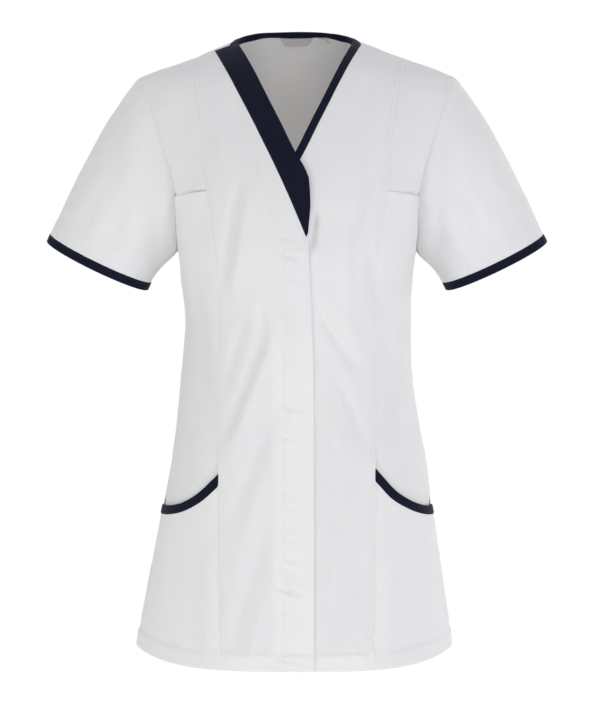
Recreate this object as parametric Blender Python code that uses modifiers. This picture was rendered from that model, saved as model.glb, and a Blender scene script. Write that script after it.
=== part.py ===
"""A short-sleeved work tunic with an overlapping front, held in the shape it has when worn, with no wearer.

Metres, +Z up. The wearer would face -Y, and their left arm points to +X. The origin lies between the
two neck points of the shoulder seams, where the tunic hangs on the wearer's shoulders.
"""

import math

import bmesh
import bpy
import numpy as np

for old in list(bpy.data.objects):
    bpy.data.objects.remove(old)
PARTS = bpy.data.collections.new("work_tunic")
bpy.context.scene.collection.children.link(PARTS)

MM = 0.001

# Cloth and making
CLOTH = 1.2 * MM
TRIM_CLOTH = 1.0 * MM
SEAM_GAP = 0.3 * MM
BINDING_WIDTH = 9.0 * MM
ARMHOLE_GAP = 0.95 * MM
UNDERARM_GAP = 1.5 * MM
TRIM_LIFT = CLOTH / 2 + SEAM_GAP + TRIM_CLOTH / 2
BAND_COLUMNS, FRONT_COLUMNS, SIDE_COLUMNS = 3, 5, 6
BACK_NECK_COLUMNS, SHOULDER_COLUMNS = 12, 2
SLEEVE_ROWS = 7
FULL_FOLD = ((1, 0), (0.7, 0.7), (0, 1), (-0.7, 0.7), (-1, 0))
FOLD_OVER_EDGE = ((1, 0), (0.7, 0.7), (0, 1))

# Levels of the torso, measured down from the neck points of the shoulders
SIDE_HEM = -717 * MM
HEM_DROP = 20 * MM
HEM_FADE_FROM = -480 * MM
HEM_TURN_UP = 19 * MM
UNDERARM = -245 * MM
BACK_NECK_RISE = 18 * MM
BACK_RISE_FADES_BY = -150 * MM
# The cloth next to the back neck edge stands up, a little higher than the slope of the back would carry it.
NECK_STAND = 21 * MM
NECK_STAND_FADES_BY = -22 * MM

# The front overlap, the fly under it and the neck
UNDERLAP_EDGE = -15 * MM
UNDERLAP_NECK_END = -163 * MM
UNDERLAP_DEPTH = CLOTH + TRIM_CLOTH + 3 * SEAM_GAP
UNDERLAP_FLAT_TO = 24 * MM
UNDERLAP_RAMP_TO = 58 * MM
FLY_STITCH_X = -15 * MM
BAND_POINT_LEVEL = -237 * MM

# Pockets
CHEST_LAYER = 2.2 * MM
HIP_LAYER = 3.4 * MM
CHEST_MOUTH = -183 * MM
CHEST_RAMP = 34 * MM
CHEST_GAPE = 2.2 * MM
CHEST_GAPE_DEPTH = 60 * MM
HIP_RAMP = 24 * MM
HIP_MOUTH_GAPE = 3.5 * MM
HIP_GAPE_DEPTH = 70 * MM
HIP_TRIM_WIDTH_INNER = 12.8 * MM
HIP_TRIM_WIDTH_OUTER = 9.4 * MM

# Sleeves, for the wearer's left arm; the right one is mirrored
CUFF_CENTRE = (238.5 * MM, -6 * MM, -265 * MM)
CUFF_HALF_WIDTH = 66 * MM
CUFF_HALF_DEPTH = 47 * MM
CUFF_TILT = math.radians(26)
CUFF_FRONT_DIP = 7 * MM
# The way the sleeve's cloth leaves the armhole at its top, front, underarm and back
SLEEVE_LEAVES = {
    "top": (0.66, 0, -0.75),
    "front": (0.80, -0.14, -0.58),
    "underarm": (0.56, 0, -0.83),
    "back": (0.80, 0.14, -0.58),
}

# Labels inside the back neck
LABEL_WIDTH_TOP, LABEL_WIDTH_FOOT, LABEL_HEIGHT = 45 * MM, 21 * MM, 12 * MM
SIZE_TAB_WIDTH, SIZE_TAB_HEIGHT, SIZE_TAB_X = 11 * MM, 9 * MM, 33 * MM
LABEL_LIFT = -(TRIM_LIFT + 0.8 * MM)

# Half widths to the wearer's right and left, depths before and behind the side seams, and how square each
# half of the section is: 2 is an ellipse. In millimetres, a row for each level.
SECTION_COLUMNS = ("level", "right", "left", "front", "back", "square_front", "square_back")
SECTIONS = (
    (0, 72, 72, 14, 58, 2.00, 2.30),
    (-10, 101.5, 101.5, 36, 67, 2.00, 2.25),
    (-20, 131, 131, 49, 74, 2.00, 2.20),
    (-33, 169, 169, 61, 82, 2.02, 2.20),
    (-48, 199, 199, 72, 89, 2.06, 2.22),
    (-64, 209, 209, 82, 95, 2.10, 2.25),
    (-84, 205, 205, 92, 100, 2.16, 2.30),
    (-120, 187, 187, 107, 107, 2.26, 2.36),
    (-158, 168, 168, 119, 109, 2.36, 2.40),
    (-200, 152, 152, 127, 107, 2.48, 2.38),
    (-245, 142.5, 142.5, 130, 102, 2.50, 2.32),
    (-277, 138.5, 138.5, 127, 97, 2.44, 2.28),
    (-332, 133, 136.5, 119, 90, 2.32, 2.22),
    (-382, 137, 137, 114, 88, 2.26, 2.22),
    (-445, 143.5, 144, 115, 95, 2.28, 2.26),
    (-499, 150, 153.5, 119, 104, 2.30, 2.28),
    (-548, 159, 160, 123, 110, 2.30, 2.26),
    (-626, 174, 173, 128, 116, 2.28, 2.24),
    (-690, 186, 182, 132, 120, 2.26, 2.22),
    (-717, 191, 185, 133, 121, 2.26, 2.22),
)

# Where the cut lines lie, as a distance from the centre for each level, in millimetres.
NECK_EDGE_RIGHT = ((0, -72), (-39, -51), (-69, -36.6), (-97, -22.8), (-139, -2.6), (-157, 7.8), (-168, 12.4))
NECK_EDGE_LEFT = ((0, 72), (-20, 58.2), (-39, 48.7), (-69, 34), (-110, 13.3), (-136, 0.6), (-163, -15))
FRONT_EDGE = ((-168, 12.4), (-182, 13.6), (-200, 14.2), (-234, 12.2), (-300, 15), (-400, 18.4), (-717, 19))
BAND_EDGE = ((-9, -98.5), (-76, -63.4), (-135, -34.5), (-185, -11.3), (-237, 10.6))
BINDING_EDGE = (
    (-3.2, 82),
    (-20, 69),
    (-39, 59.5),
    (-69, 44.8),
    (-110, 24.2),
    (-136, 11.6),
    (-163, -4),
    (-717, -4),
)
PRINCESS = (
    (-20, 131),
    (-55, 120),
    (-110, 112),
    (-183, 104),
    (-260, 94),
    (-340, 91),
    (-480, 91),
    (-600, 90),
    (-717, 88),
)
BACK_DART = ((-20, 131), (-110, 112), (-183, 100), (-340, 88), (-480, 92), (-717, 92))
ARMHOLE_FRONT = ((-40, 189.5), (-50, 182), (-82, 171), (-120, 158.5), (-158, 147), (-187, 142), (-245, 142))
ARMHOLE_BACK = ((-40, 189.5), (-50, 186), (-82, 178), (-120, 167), (-158, 156), (-187, 149), (-245, 142))
HIP_MOUTH = {
    "right": ((91, -512), (102, -523), (113, -533), (124, -540.5), (137, -547), (150, -551), (162, -553)),
    "left": ((91, -505), (102, -518), (113, -530), (124, -538.5), (137, -546), (150, -551), (162, -553)),
}

# Levels at which the rows of points cross each cut line, from the hem up. The rows run side by side.
ROWS_LOW = (-717, -698, -694, -660, -620, -580, -540, -500, -460, -420, -380, -340, -300, -271, -245)
ROWS_RIGHT_EDGE = (-234, -218, -200, -183, -168, -136, -108, -80, -58, -40, -26, -15, -7, -2, 0)
ROWS_LEFT_EDGE = (-234, -218, -200, -183, -163, -136, -108, -80, -58, -40, -26, -15, -7, -2, 0)
ROWS_BAND = (-237, -221, -204, -187, -168, -139, -111, -85, -64, -47, -34, -24, -16, -11, -9)
ROWS_BINDING = (-234, -218, -200, -183, -163, -137, -110, -82, -60, -42.5, -28.5, -17.5, -9.8, -5, -3.2)
ROWS_PRINCESS = (-236, -219, -201, -183, -160, -133, -106, -82, -62, -48, -37, -29, -24, -21, -20)
ROWS_ARMHOLE = (-243.6, -236, -216, -187, -163, -135, -108, -86, -69, -57, -49, -44, -41.6, -40.4, -40)
LOW_ROWS = len(ROWS_LOW)
CHEST_MOUTH_ROW = LOW_ROWS + ROWS_PRINCESS.index(-183)
BAND_POINT_ROW = LOW_ROWS
UNDERARM_ROW = LOW_ROWS - 1
CHEST_FOOT_ROW = ROWS_LOW.index(-300)
HEM_FOLD_ROW = ROWS_LOW.index(-694)

# The largest folds of the front: a soft trough (minus) or ridge (plus) along a straight run, in millimetres.
FOLD_COLUMNS = ("x0", "z0", "x1", "z1", "half_width", "height")
FRONT_FOLDS = (
    (-64, -170, -78, -290, 11, -2.6),
    (-24, -340, -72, -480, 15, 2.6),
    (-48, -300, -40, -400, 12, -2.2),
    (18, -312, 68, -392, 11, -3.0),
    (88, -160, 72, -232, 11, -2.4),
    (60, -236, 50, -330, 13, 2.2),
    (-50, -610, -82, -712, 16, -2.6),
    (80, -620, 40, -700, 15, -2.4),
    (-118, -300, -96, -430, 14, -2.0),
    (128, -330, 104, -452, 14, -2.0),
)
BACK_FOLDS = (
    (-60, -330, -104, -430, 16, -3.0),
    (66, -318, 100, -436, 16, -3.0),
    (-20, -372, 34, -398, 14, -2.4),
    (-72, -470, -96, -716, 24, 4.0),
    (12, -480, 4, -716, 26, 3.4),
    (84, -470, 108, -716, 24, 4.0),
    (-96, -70, -58, -150, 16, -2.0),
    (98, -76, 62, -156, 16, -2.0),
)


def smooth_curve(places, values):
    """A curve through the points that never overshoots them, with no kink: a monotone cubic."""
    order = np.argsort(places)
    x, y = np.asarray(places, float)[order], np.asarray(values, float)[order]
    run = np.diff(x)
    slope = np.diff(y) / run
    tangent = np.zeros(len(x))
    same_way = slope[:-1] * slope[1:] > 0
    weight_a, weight_b = 2 * run[1:] + run[:-1], run[1:] + 2 * run[:-1]
    with np.errstate(divide="ignore", invalid="ignore"):
        mean = (weight_a + weight_b) / (weight_a / slope[:-1] + weight_b / slope[1:])
    tangent[1:-1] = np.where(same_way, mean, 0)
    tangent[0], tangent[-1] = slope[0], slope[-1]

    def at(q):
        q = np.clip(q, x[0], x[-1])
        i = np.clip(np.searchsorted(x, q) - 1, 0, len(run) - 1)
        t = (q - x[i]) / run[i]
        rise = y[i] * (1 + 2 * t) * (1 - t) ** 2 + y[i + 1] * t**2 * (3 - 2 * t)
        return rise + run[i] * (tangent[i] * t * (1 - t) ** 2 - tangent[i + 1] * t**2 * (1 - t))

    return at


def section_curve(column):
    """One column of the section table as a curve over the level."""
    k = SECTION_COLUMNS.index(column)
    unit = 1 if column.startswith("square") else MM
    return smooth_curve([row[0] * MM for row in SECTIONS], [row[k] * unit for row in SECTIONS])


def line_curve(table):
    """A cut line's distance from the centre over the level."""
    return smooth_curve([row[0] * MM for row in table], [row[1] * MM for row in table])


SECTION = {column: section_curve(column) for column in SECTION_COLUMNS[1:]}
LINE = {
    "neck_right": line_curve(NECK_EDGE_RIGHT),
    "neck_left": line_curve(NECK_EDGE_LEFT),
    "front_edge": line_curve(FRONT_EDGE),
    "band": line_curve(BAND_EDGE),
    "binding": line_curve(BINDING_EDGE),
    "princess": line_curve(PRINCESS),
    "back_dart": line_curve(BACK_DART),
    "armhole_front": line_curve(ARMHOLE_FRONT),
    "armhole_back": line_curve(ARMHOLE_BACK),
}


def ease(t):
    """0 up to 0, 1 from 1 on, and a smooth step between."""
    t = np.clip(t, 0, 1)
    return t * t * (3 - 2 * t)


def fold_height(folds, x, z):
    """How far the folds lift the cloth at x, z, in metres."""
    height = np.zeros(np.broadcast(x, z).shape)
    for row in folds:
        fold = dict(zip(FOLD_COLUMNS, (value * MM for value in row)))
        run_x, run_z = fold["x1"] - fold["x0"], fold["z1"] - fold["z0"]
        length = math.hypot(run_x, run_z)
        along = ((x - fold["x0"]) * run_x + (z - fold["z0"]) * run_z) / length**2
        across = ((x - fold["x0"]) * run_z - (z - fold["z0"]) * run_x) / length
        ends = ease((along + 0.15) / 0.4) * ease((1.15 - along) / 0.4)
        height += fold["height"] * ends * np.exp(-((across / fold["half_width"]) ** 2))
    return height


def bare_torso(angle, level):
    """Points of the torso's middle surface without folds. Angle 0 is the left side seam, a quarter turn the
    centre front, a half turn the right side seam and three quarters the centre back."""
    cosine, sine = np.cos(angle), np.sin(angle)
    front = sine >= 0
    square = np.where(front, SECTION["square_front"](level), SECTION["square_back"](level))
    half = np.where(cosine >= 0, SECTION["left"](level), SECTION["right"](level))
    depth = np.where(front, SECTION["front"](level), SECTION["back"](level))
    x = half * np.sign(cosine) * np.abs(cosine) ** (2 / square)
    share = np.abs(sine) ** (2 / square)
    y = np.where(front, -1, 1) * depth * share
    slope = BACK_NECK_RISE * (1 - np.cos(np.pi * share)) / 2
    rise = slope * ease(1 - level / BACK_RISE_FADES_BY)
    rise = rise + (NECK_STAND * share**0.9 - slope) * ease(1 - level / NECK_STAND_FADES_BY)
    drop = HEM_DROP * (1 - cosine**4) * ease((level - HEM_FADE_FROM) / (SIDE_HEM - HEM_FADE_FROM))
    z = level + np.where(front, 0, rise) - drop
    return np.stack(np.broadcast_arrays(x, y, z), axis=-1)


def unit(v):
    """The same directions with a length of one."""
    return v / np.maximum(np.linalg.norm(v, axis=-1, keepdims=True), 1e-12)


def torso(angle, level, lift=0.0):
    """Points of the torso, folds and all, moved out along its normals by lift, and those normals."""
    angle, level, lift = (np.asarray(v, float) for v in np.broadcast_arrays(angle, level, lift))
    step_angle, step_level = 2e-3, 0.5 * MM
    # Near a side seam the surface is followed on both of its sides, so that front and back agree there.
    across = bare_torso(angle + step_angle, level) - bare_torso(angle - step_angle, level)
    up = bare_torso(angle, np.minimum(level + step_level, 0)) - bare_torso(angle, level - step_level)
    normal = unit(np.cross(up, across))
    point = bare_torso(angle, level)
    front = np.sin(angle) >= 0
    clear_of_overlap = np.where(front, ease((np.abs(point[..., 0] - 2 * MM) - 17 * MM) / (12 * MM)), 1)
    fade = ease(np.abs(np.sin(angle)) / 0.35) * clear_of_overlap
    fold = np.where(
        front,
        fold_height(FRONT_FOLDS, point[..., 0], point[..., 2]),
        fold_height(BACK_FOLDS, point[..., 0], point[..., 2]),
    )
    return point + normal * (lift + fade * fold)[..., None], normal


def grid_normals(points):
    """The outward normals of a grid's points, each the mean of the faces round it."""
    face = unit(np.cross(points[1:, 1:] - points[:-1, :-1], points[1:, :-1] - points[:-1, 1:]))
    middle = (points[1:, 1:] + points[:-1, :-1]) / 2
    if np.sum(face * middle * np.array([1, 1, 0])) < 0:
        face = -face
    total = np.zeros(points.shape)
    for rows in (slice(0, -1), slice(1, None)):
        for columns in (slice(0, -1), slice(1, None)):
            total[rows, columns] += face
    return unit(total)


def angle_at(x, level, back=False):
    """The angle of the torso's point at a distance x from the centre."""
    square = SECTION["square_back" if back else "square_front"](level)
    half = np.where(np.asarray(x) >= 0, SECTION["left"](level), SECTION["right"](level))
    cosine = np.sign(x) * np.minimum(np.abs(x) / half, 1) ** (square / 2)
    angle = np.arccos(np.clip(cosine, -1, 1))
    return 2 * np.pi - angle if back else angle


def coons(left, right, foot, top):
    """A grid of (angle, level) filled in between its four sides, each an array of such pairs."""
    rows, columns = len(left), len(foot)
    v, u = np.linspace(0, 1, rows)[:, None, None], np.linspace(0, 1, columns)[None, :, None]
    ruled_up = (1 - v) * foot[None] + v * top[None]
    ruled_over = (1 - u) * left[:, None] + u * right[:, None]
    corners = (1 - u) * ((1 - v) * foot[0] + v * top[0]) + u * ((1 - v) * foot[-1] + v * top[-1])
    return ruled_up + ruled_over - corners


def spread(domain):
    """The grid of (angle, level) with each row's angles shared out anew between its two ends, part way from the
    foot's shares to the top's, so that no column crosses another."""
    foot, top = ((row[:, 0] - row[0, 0]) / (row[-1, 0] - row[0, 0]) for row in (domain[0], domain[-1]))
    up = np.linspace(0, 1, len(domain))[:, None]
    first, last = domain[:, :1, 0], domain[:, -1:, 0]
    angles = first + (last - first) * ((1 - up) * foot + up * top)
    return np.stack([angles, domain[..., 1]], axis=-1)


def levels(upper_rows):
    """The levels of a cut line's rows, from the hem up."""
    return np.array(ROWS_LOW + tuple(upper_rows), float) * MM


def side(x, level, back=False):
    """A side of a patch: pairs of angle and level along a cut line."""
    return np.stack([angle_at(x, level, back), level], axis=-1)


def straight(start, end, columns):
    """A straight side of a patch, from one pair of angle and level to another."""
    t = np.linspace(0, 1, columns + 1)[:, None]
    return (1 - t) * start + t * end


def drawn_in(grid, edges, gap=SEAM_GAP):
    """The grid with the named edges moved in by half a seam gap."""
    grid = grid.copy()
    pairs = {
        "left": ((slice(None), 0), (slice(None), 1)),
        "right": ((slice(None), -1), (slice(None), -2)),
        "foot": ((0,), (1,)),
        "top": ((-1,), (-2,)),
    }
    for edge in edges:
        rim, next_in = pairs[edge]
        grid[rim] += unit(grid[next_in] - grid[rim]) * gap / 2
    return grid


def material(name, colour, roughness):
    """A plain dull surface of one colour."""
    made = bpy.data.materials.new(name)
    made.use_nodes = True
    shader = made.node_tree.nodes["Principled BSDF"]
    shader.inputs["Base Color"].default_value = (*colour, 1)
    shader.inputs["Roughness"].default_value = roughness
    made.diffuse_color = (*colour, 1)
    return made


def cloth(name, grids, wall, finish, closed=False, shares=None):
    """A wall of cloth through one or more grids of points that meet edge to edge. closed joins the last
    column to the first. shares holds a grid of shares of the wall for each grid of points."""
    shape = bmesh.new()
    share_layer = shape.verts.layers.float.new("share")
    for number, grid in enumerate(grids):
        rows, columns = grid.shape[:2]
        verts = [[shape.verts.new(point) for point in row] for row in grid]
        for j in range(rows):
            for i in range(columns):
                verts[j][i][share_layer] = 1.0 if shares is None else shares[number][j, i]
        for j in range(rows - 1):
            for i in range(columns if closed else columns - 1):
                k = (i + 1) % columns
                shape.faces.new((verts[j][i], verts[j][k], verts[j + 1][k], verts[j + 1][i]))
    bmesh.ops.remove_doubles(shape, verts=shape.verts, dist=0.02 * MM)
    bmesh.ops.triangulate(shape, faces=shape.faces, quad_method="SHORT_EDGE")
    bmesh.ops.recalc_face_normals(shape, faces=shape.faces)
    wall_shares = [vert[share_layer] for vert in shape.verts]
    mesh = bpy.data.meshes.new(name)
    shape.to_mesh(mesh)
    shape.free()
    mesh.materials.append(finish)
    mesh.shade_smooth()
    made = bpy.data.objects.new(name, mesh)
    PARTS.objects.link(made)
    solidify = made.modifiers.new("wall", "SOLIDIFY")
    solidify.thickness = wall
    solidify.offset = 0
    solidify.use_quality_normals = True
    if shares is not None:
        group = made.vertex_groups.new(name="wall_share")
        for index, share in enumerate(wall_shares):
            group.add([index], share, "REPLACE")
        solidify.vertex_group = group.name


def hem_share(grid_levels, other=0.0):
    """1 where the cloth is turned up double at the hem, or where other says so, and a half elsewhere."""
    turned = ease((SIDE_HEM + HEM_TURN_UP + 4 * MM - grid_levels) / (4 * MM))
    return 0.5 + 0.5 * np.maximum(turned, other)


def doubled_shift(share):
    """A doubled wall grows inwards only, so its middle moves in."""
    return -(share - 0.5) * CLOTH


# The panels, as grids of angle and level


def panel_between(lines, columns):
    """A panel's grid of angle and level, from one cut line to the next, with so many columns in each."""
    grids = []
    for inner, outer, count in zip(lines[:-1], lines[1:], columns):
        foot = straight(inner[0], outer[0], count)
        top = straight(inner[-1], outer[-1], count)
        grids.append(coons(inner, outer, foot, top))
    return np.concatenate([grid[:, :-1] for grid in grids[:-1]] + [grids[-1]], axis=1)


def side_line(sign, back=False):
    """The side seam and above it the armhole, on the wearer's left for sign 1 and right for -1."""
    down = levels(ROWS_ARMHOLE)
    half = SECTION["left" if sign > 0 else "right"](down)
    armhole = LINE["armhole_back" if back else "armhole_front"](down)
    x = np.where(down <= UNDERARM + 1e-6, half, armhole)
    x[-1] = half[-1]
    return side(sign * x, down, back)


def cut_line(name, upper_rows, sign=1, back=False):
    """A named cut line as a side of a patch, on the wearer's left for sign 1 and right for -1."""
    down = levels(upper_rows)
    return side(sign * LINE[name](down), down, back)


def bare_x(domain):
    """How far the points of a grid of angle and level lie from the centre."""
    return bare_torso(domain[..., 0], domain[..., 1])[..., 0]


def edge_share(count):
    """0 at both ends of an edge and 1 in its middle."""
    return np.sin(np.pi * np.linspace(0, 1, count))


def make_front_right(white):
    """The right front, which overlaps, with a double thickness at the fly and the hem. Gives its grid of
    angle and level."""
    down = levels(ROWS_RIGHT_EDGE)
    neck = LINE["neck_right"](down)
    front_edge = side(np.where(down < -168.5 * MM, LINE["front_edge"](down), neck), down)
    band_levels = levels(ROWS_BAND)
    band_x = np.where(band_levels < BAND_POINT_LEVEL - MM, FLY_STITCH_X, LINE["band"](band_levels))
    lines = (front_edge, side(band_x, band_levels), cut_line("princess", ROWS_PRINCESS, -1))
    domain = panel_between(lines, (BAND_COLUMNS, FRONT_COLUMNS))
    in_fly = np.zeros(domain.shape[:2])
    in_fly[:BAND_POINT_ROW, : BAND_COLUMNS + 1] = 1
    share = hem_share(domain[..., 1], in_fly)
    points, _ = torso(domain[..., 0], domain[..., 1], doubled_shift(share))
    cloth("front_right", [drawn_in(points, ("right", "top"))], 2 * CLOTH, white, shares=[share])
    return domain


def make_neck_band(domain, navy):
    """The wide navy band on the right front, from the shoulder seam to its point at the top of the fly."""
    points, _ = torso(domain[..., 0], domain[..., 1])
    lifted = (points + grid_normals(points) * TRIM_LIFT)[BAND_POINT_ROW:, : BAND_COLUMNS + 1]
    cloth("neck_band_right", [drawn_in(lifted, ("top",))], TRIM_CLOTH, navy)


def make_front_left(white):
    """The left front, which lies in under the right one at the overlap. Gives its grid of points."""
    down = levels(ROWS_LEFT_EDGE)
    edge_x = np.where(down < UNDERLAP_NECK_END - MM, UNDERLAP_EDGE, LINE["neck_left"](down))
    lines = (side(edge_x, down), cut_line("binding", ROWS_BINDING), cut_line("princess", ROWS_PRINCESS))
    domain = panel_between(lines, (1, FRONT_COLUMNS + 1))
    share = hem_share(domain[..., 1])
    points, _ = torso(domain[..., 0], domain[..., 1], doubled_shift(share) + underlap_shift(bare_x(domain)))
    cloth("front_left", [drawn_in(points, ("right", "top"))], 2 * CLOTH, white, shares=[share])
    return points


def underlap_shift(x):
    """How far the left front lies in, under the right one and its trim."""
    return -UNDERLAP_DEPTH * ease((UNDERLAP_RAMP_TO - x) / (UNDERLAP_RAMP_TO - UNDERLAP_FLAT_TO))


def hip_mouth(sign, columns):
    """The hip pocket's mouth as pairs of angle and level, from the princess seam to the side seam."""
    mouth = HIP_MOUTH["left" if sign > 0 else "right"]
    curve = smooth_curve([row[0] * MM for row in mouth], [row[1] * MM for row in mouth])
    first_x, last_x = mouth[0][0] * MM, mouth[-1][0] * MM
    pairs = []
    start = float(angle_at(sign * LINE["princess"](curve(first_x)), curve(first_x)))
    end = 0.0 if sign > 0 else math.pi
    for t in np.linspace(0, 1, columns + 1):
        angle = (1 - t) * start + t * end
        level = curve(first_x)
        for _ in range(30):
            x = abs(bare_torso(np.array(angle), np.array(level))[0])
            level = curve(np.clip(x, first_x, last_x))
        pairs.append((angle, level))
    return np.array(pairs, float)


def make_side_fronts(sign, hand, white, navy):
    """The three layers between the princess seam and the side seam, and the hip pocket's navy trim."""
    lines = (cut_line("princess", ROWS_PRINCESS, sign), side_line(sign))
    domain = panel_between(lines, (SIDE_COLUMNS,))

    upper = domain[CHEST_FOOT_ROW:]
    tucked = ease((CHEST_MOUTH + CHEST_RAMP - upper[..., 1]) / CHEST_RAMP)
    points, _ = torso(upper[..., 0], upper[..., 1], -CHEST_LAYER * tucked)
    cloth(f"side_front_upper_{hand}", [drawn_in(points, ("left", "top"))], CLOTH, white)

    mouth = hip_mouth(sign, SIDE_COLUMNS)
    middle = domain[HEM_FOLD_ROW : CHEST_MOUTH_ROW + 1]
    gape = CHEST_GAPE * edge_share(SIDE_COLUMNS + 1)[None, :]
    gape = gape * ease(1 + (middle[..., 1] - CHEST_MOUTH) / CHEST_GAPE_DEPTH)
    behind = ease((mouth[None, :, 1] + HIP_RAMP - middle[..., 1]) / HIP_RAMP)
    points, _ = torso(middle[..., 0], middle[..., 1], gape - HIP_LAYER * behind)
    cloth(f"side_front_{hand}", [drawn_in(points, ("left", "right"))], CLOTH, white)

    steps = np.array([0, 19, 23, 60, 96, 132]) * MM
    princess_levels = np.concatenate([SIDE_HEM + steps, [mouth[0, 1] - HIP_TRIM_WIDTH_INNER, mouth[0, 1]]])
    seam_levels = np.concatenate([SIDE_HEM + steps, [mouth[-1, 1] - HIP_TRIM_WIDTH_OUTER, mouth[-1, 1]]])
    inner = side(sign * LINE["princess"](princess_levels), princess_levels)
    outer = np.stack([np.full(len(seam_levels), mouth[-1, 0]), seam_levels], axis=-1)
    pocket = coons(inner, outer, straight(inner[0], outer[0], SIDE_COLUMNS), mouth)
    gape = HIP_MOUTH_GAPE * edge_share(SIDE_COLUMNS + 1)[None, :]
    gape = gape * ease(1 + (pocket[..., 1] - mouth[None, :, 1]) / HIP_GAPE_DEPTH)
    share = hem_share(pocket[..., 1])
    points, _ = torso(pocket[..., 0], pocket[..., 1], doubled_shift(share) + gape)
    panel = drawn_in(points, ("left", "right"))
    cloth(f"hip_pocket_{hand}", [panel], 2 * CLOTH, white, shares=[share])

    normals = grid_normals(panel)
    trim = folded_strip(panel[-2], panel[-1], normals[-2], normals[-1], FOLD_OVER_EDGE)
    cloth(f"hip_pocket_trim_{hand}", [trim], TRIM_CLOTH, navy)


def folded_strip(far, edge, far_normals, edge_normals, turn):
    """A strip of trim folded round an edge: turn lists the shares of outward and onward at the fold."""
    onward = unit(edge - far)
    columns = [far + far_normals * TRIM_LIFT]
    columns += [edge + (edge_normals * out + onward * on) * TRIM_LIFT for out, on in turn]
    if turn[-1][0] < -0.9:
        columns.append(far - far_normals * TRIM_LIFT)
    return np.stack(columns, axis=1)


def neck_line_back():
    """The back's neck edge as pairs of angle and level, from the left neck point to the right one."""
    turns = np.linspace(2 * np.pi, np.pi, BACK_NECK_COLUMNS + 1)
    return np.stack([turns, np.zeros(len(turns))], axis=-1)


def level_below_neck(angle, width=BINDING_WIDTH):
    """The level that lies width below the neck edge, measured on the cloth."""
    down = np.linspace(0, -20 * MM, 81)
    run = np.linalg.norm(bare_torso(angle, down) - bare_torso(angle, 0 * MM), axis=-1)
    return float(np.interp(width, run, down))


def make_back(white):
    """The back in one piece: both sides, the middle and a strip below the neck edge. Gives the three rows of
    points nearest the neck edge, from the right neck point to the left one."""
    darts = {sign: cut_line("back_dart", ROWS_PRINCESS, sign, back=True) for sign in (1, -1)}
    neck = neck_line_back()
    below = np.array([(angle, level_below_neck(angle)) for angle, _ in neck])
    shoulder_left = straight(darts[1][-1], below[0], SHOULDER_COLUMNS)
    shoulder_right = straight(below[-1], darts[-1][-1], SHOULDER_COLUMNS)
    top = np.concatenate([shoulder_left[:-1], below, shoulder_right[1:]])
    foot = straight(darts[1][0], darts[-1][0], len(top) - 1)
    grids, shares = [], []
    for sign in (1, -1):
        domain = panel_between((darts[sign], side_line(sign, back=True)), (SIDE_COLUMNS,))
        shares.append(hem_share(domain[..., 1]))
        points, _ = torso(domain[..., 0], domain[..., 1], doubled_shift(shares[-1]))
        grids.append(drawn_in(points, ("right", "top")))
    domain = spread(coons(darts[1], darts[-1], foot, top))
    shares.append(hem_share(domain[..., 1]))
    points, _ = torso(domain[..., 0], domain[..., 1], doubled_shift(shares[-1]))
    neck_points, _ = torso(neck[:, 0], neck[:, 1])
    middle = slice(SHOULDER_COLUMNS, SHOULDER_COLUMNS + len(neck))
    strip = np.stack([neck_points, points[-1, middle], points[-2, middle]]).transpose(1, 0, 2)[::-1]
    off_seam = drawn_in(points, ("top",))[-1] - points[-1]
    for end, run in ((0, slice(0, SHOULDER_COLUMNS + 1)), (-1, slice(-SHOULDER_COLUMNS - 1, None))):
        points[-1, run] += off_seam[run]
        neck_points[end] += off_seam[SHOULDER_COLUMNS if end == 0 else -SHOULDER_COLUMNS - 1]
    points[-1, 0], points[-1, -1] = grids[0][-1, 0], grids[1][-1, 0]
    grids.append(points)
    grids.append(np.stack([points[-1, middle], neck_points]))
    shares.append(np.full((2, len(neck)), 0.5))
    cloth("back", grids, 2 * CLOTH, white, shares=shares)
    return strip


def make_neck_binding(back_strip, left_panel, navy):
    """The narrow navy binding, folded over the back neck and the left front's neck edge. Both arguments are
    grids of points whose first and second columns lie on the edge and a binding's width in from it."""
    start = ROWS_LEFT_EDGE.index(-163) + LOW_ROWS
    front = left_panel[start:][::-1]
    edge = np.concatenate([back_strip[:, 0], front[1:, 0]])
    far = np.concatenate([back_strip[:, 1], front[1:, 1]])
    back_normals, front_normals = grid_normals(back_strip)[:, :2], grid_normals(left_panel)[start:, :2][::-1]
    mitre = unit(back_normals[-1] + front_normals[0])
    mitre = mitre / np.sum(mitre * front_normals[0], axis=-1, keepdims=True)
    normals = np.concatenate([back_normals[:-1], mitre[None], front_normals[1:]])
    strip = folded_strip(far, edge, normals[:, 1], normals[:, 0], FULL_FOLD)
    cloth("neck_binding", [strip], TRIM_CLOTH, navy)


def armhole(sign):
    """The armhole's points, from the shoulder tip down the front to the underarm and up the back."""
    front, back = side_line(sign)[UNDERARM_ROW:], side_line(sign, back=True)[UNDERARM_ROW:]
    ring = np.concatenate([front[::-1], back[1:-1]])
    return torso(ring[:, 0], ring[:, 1])


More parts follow.
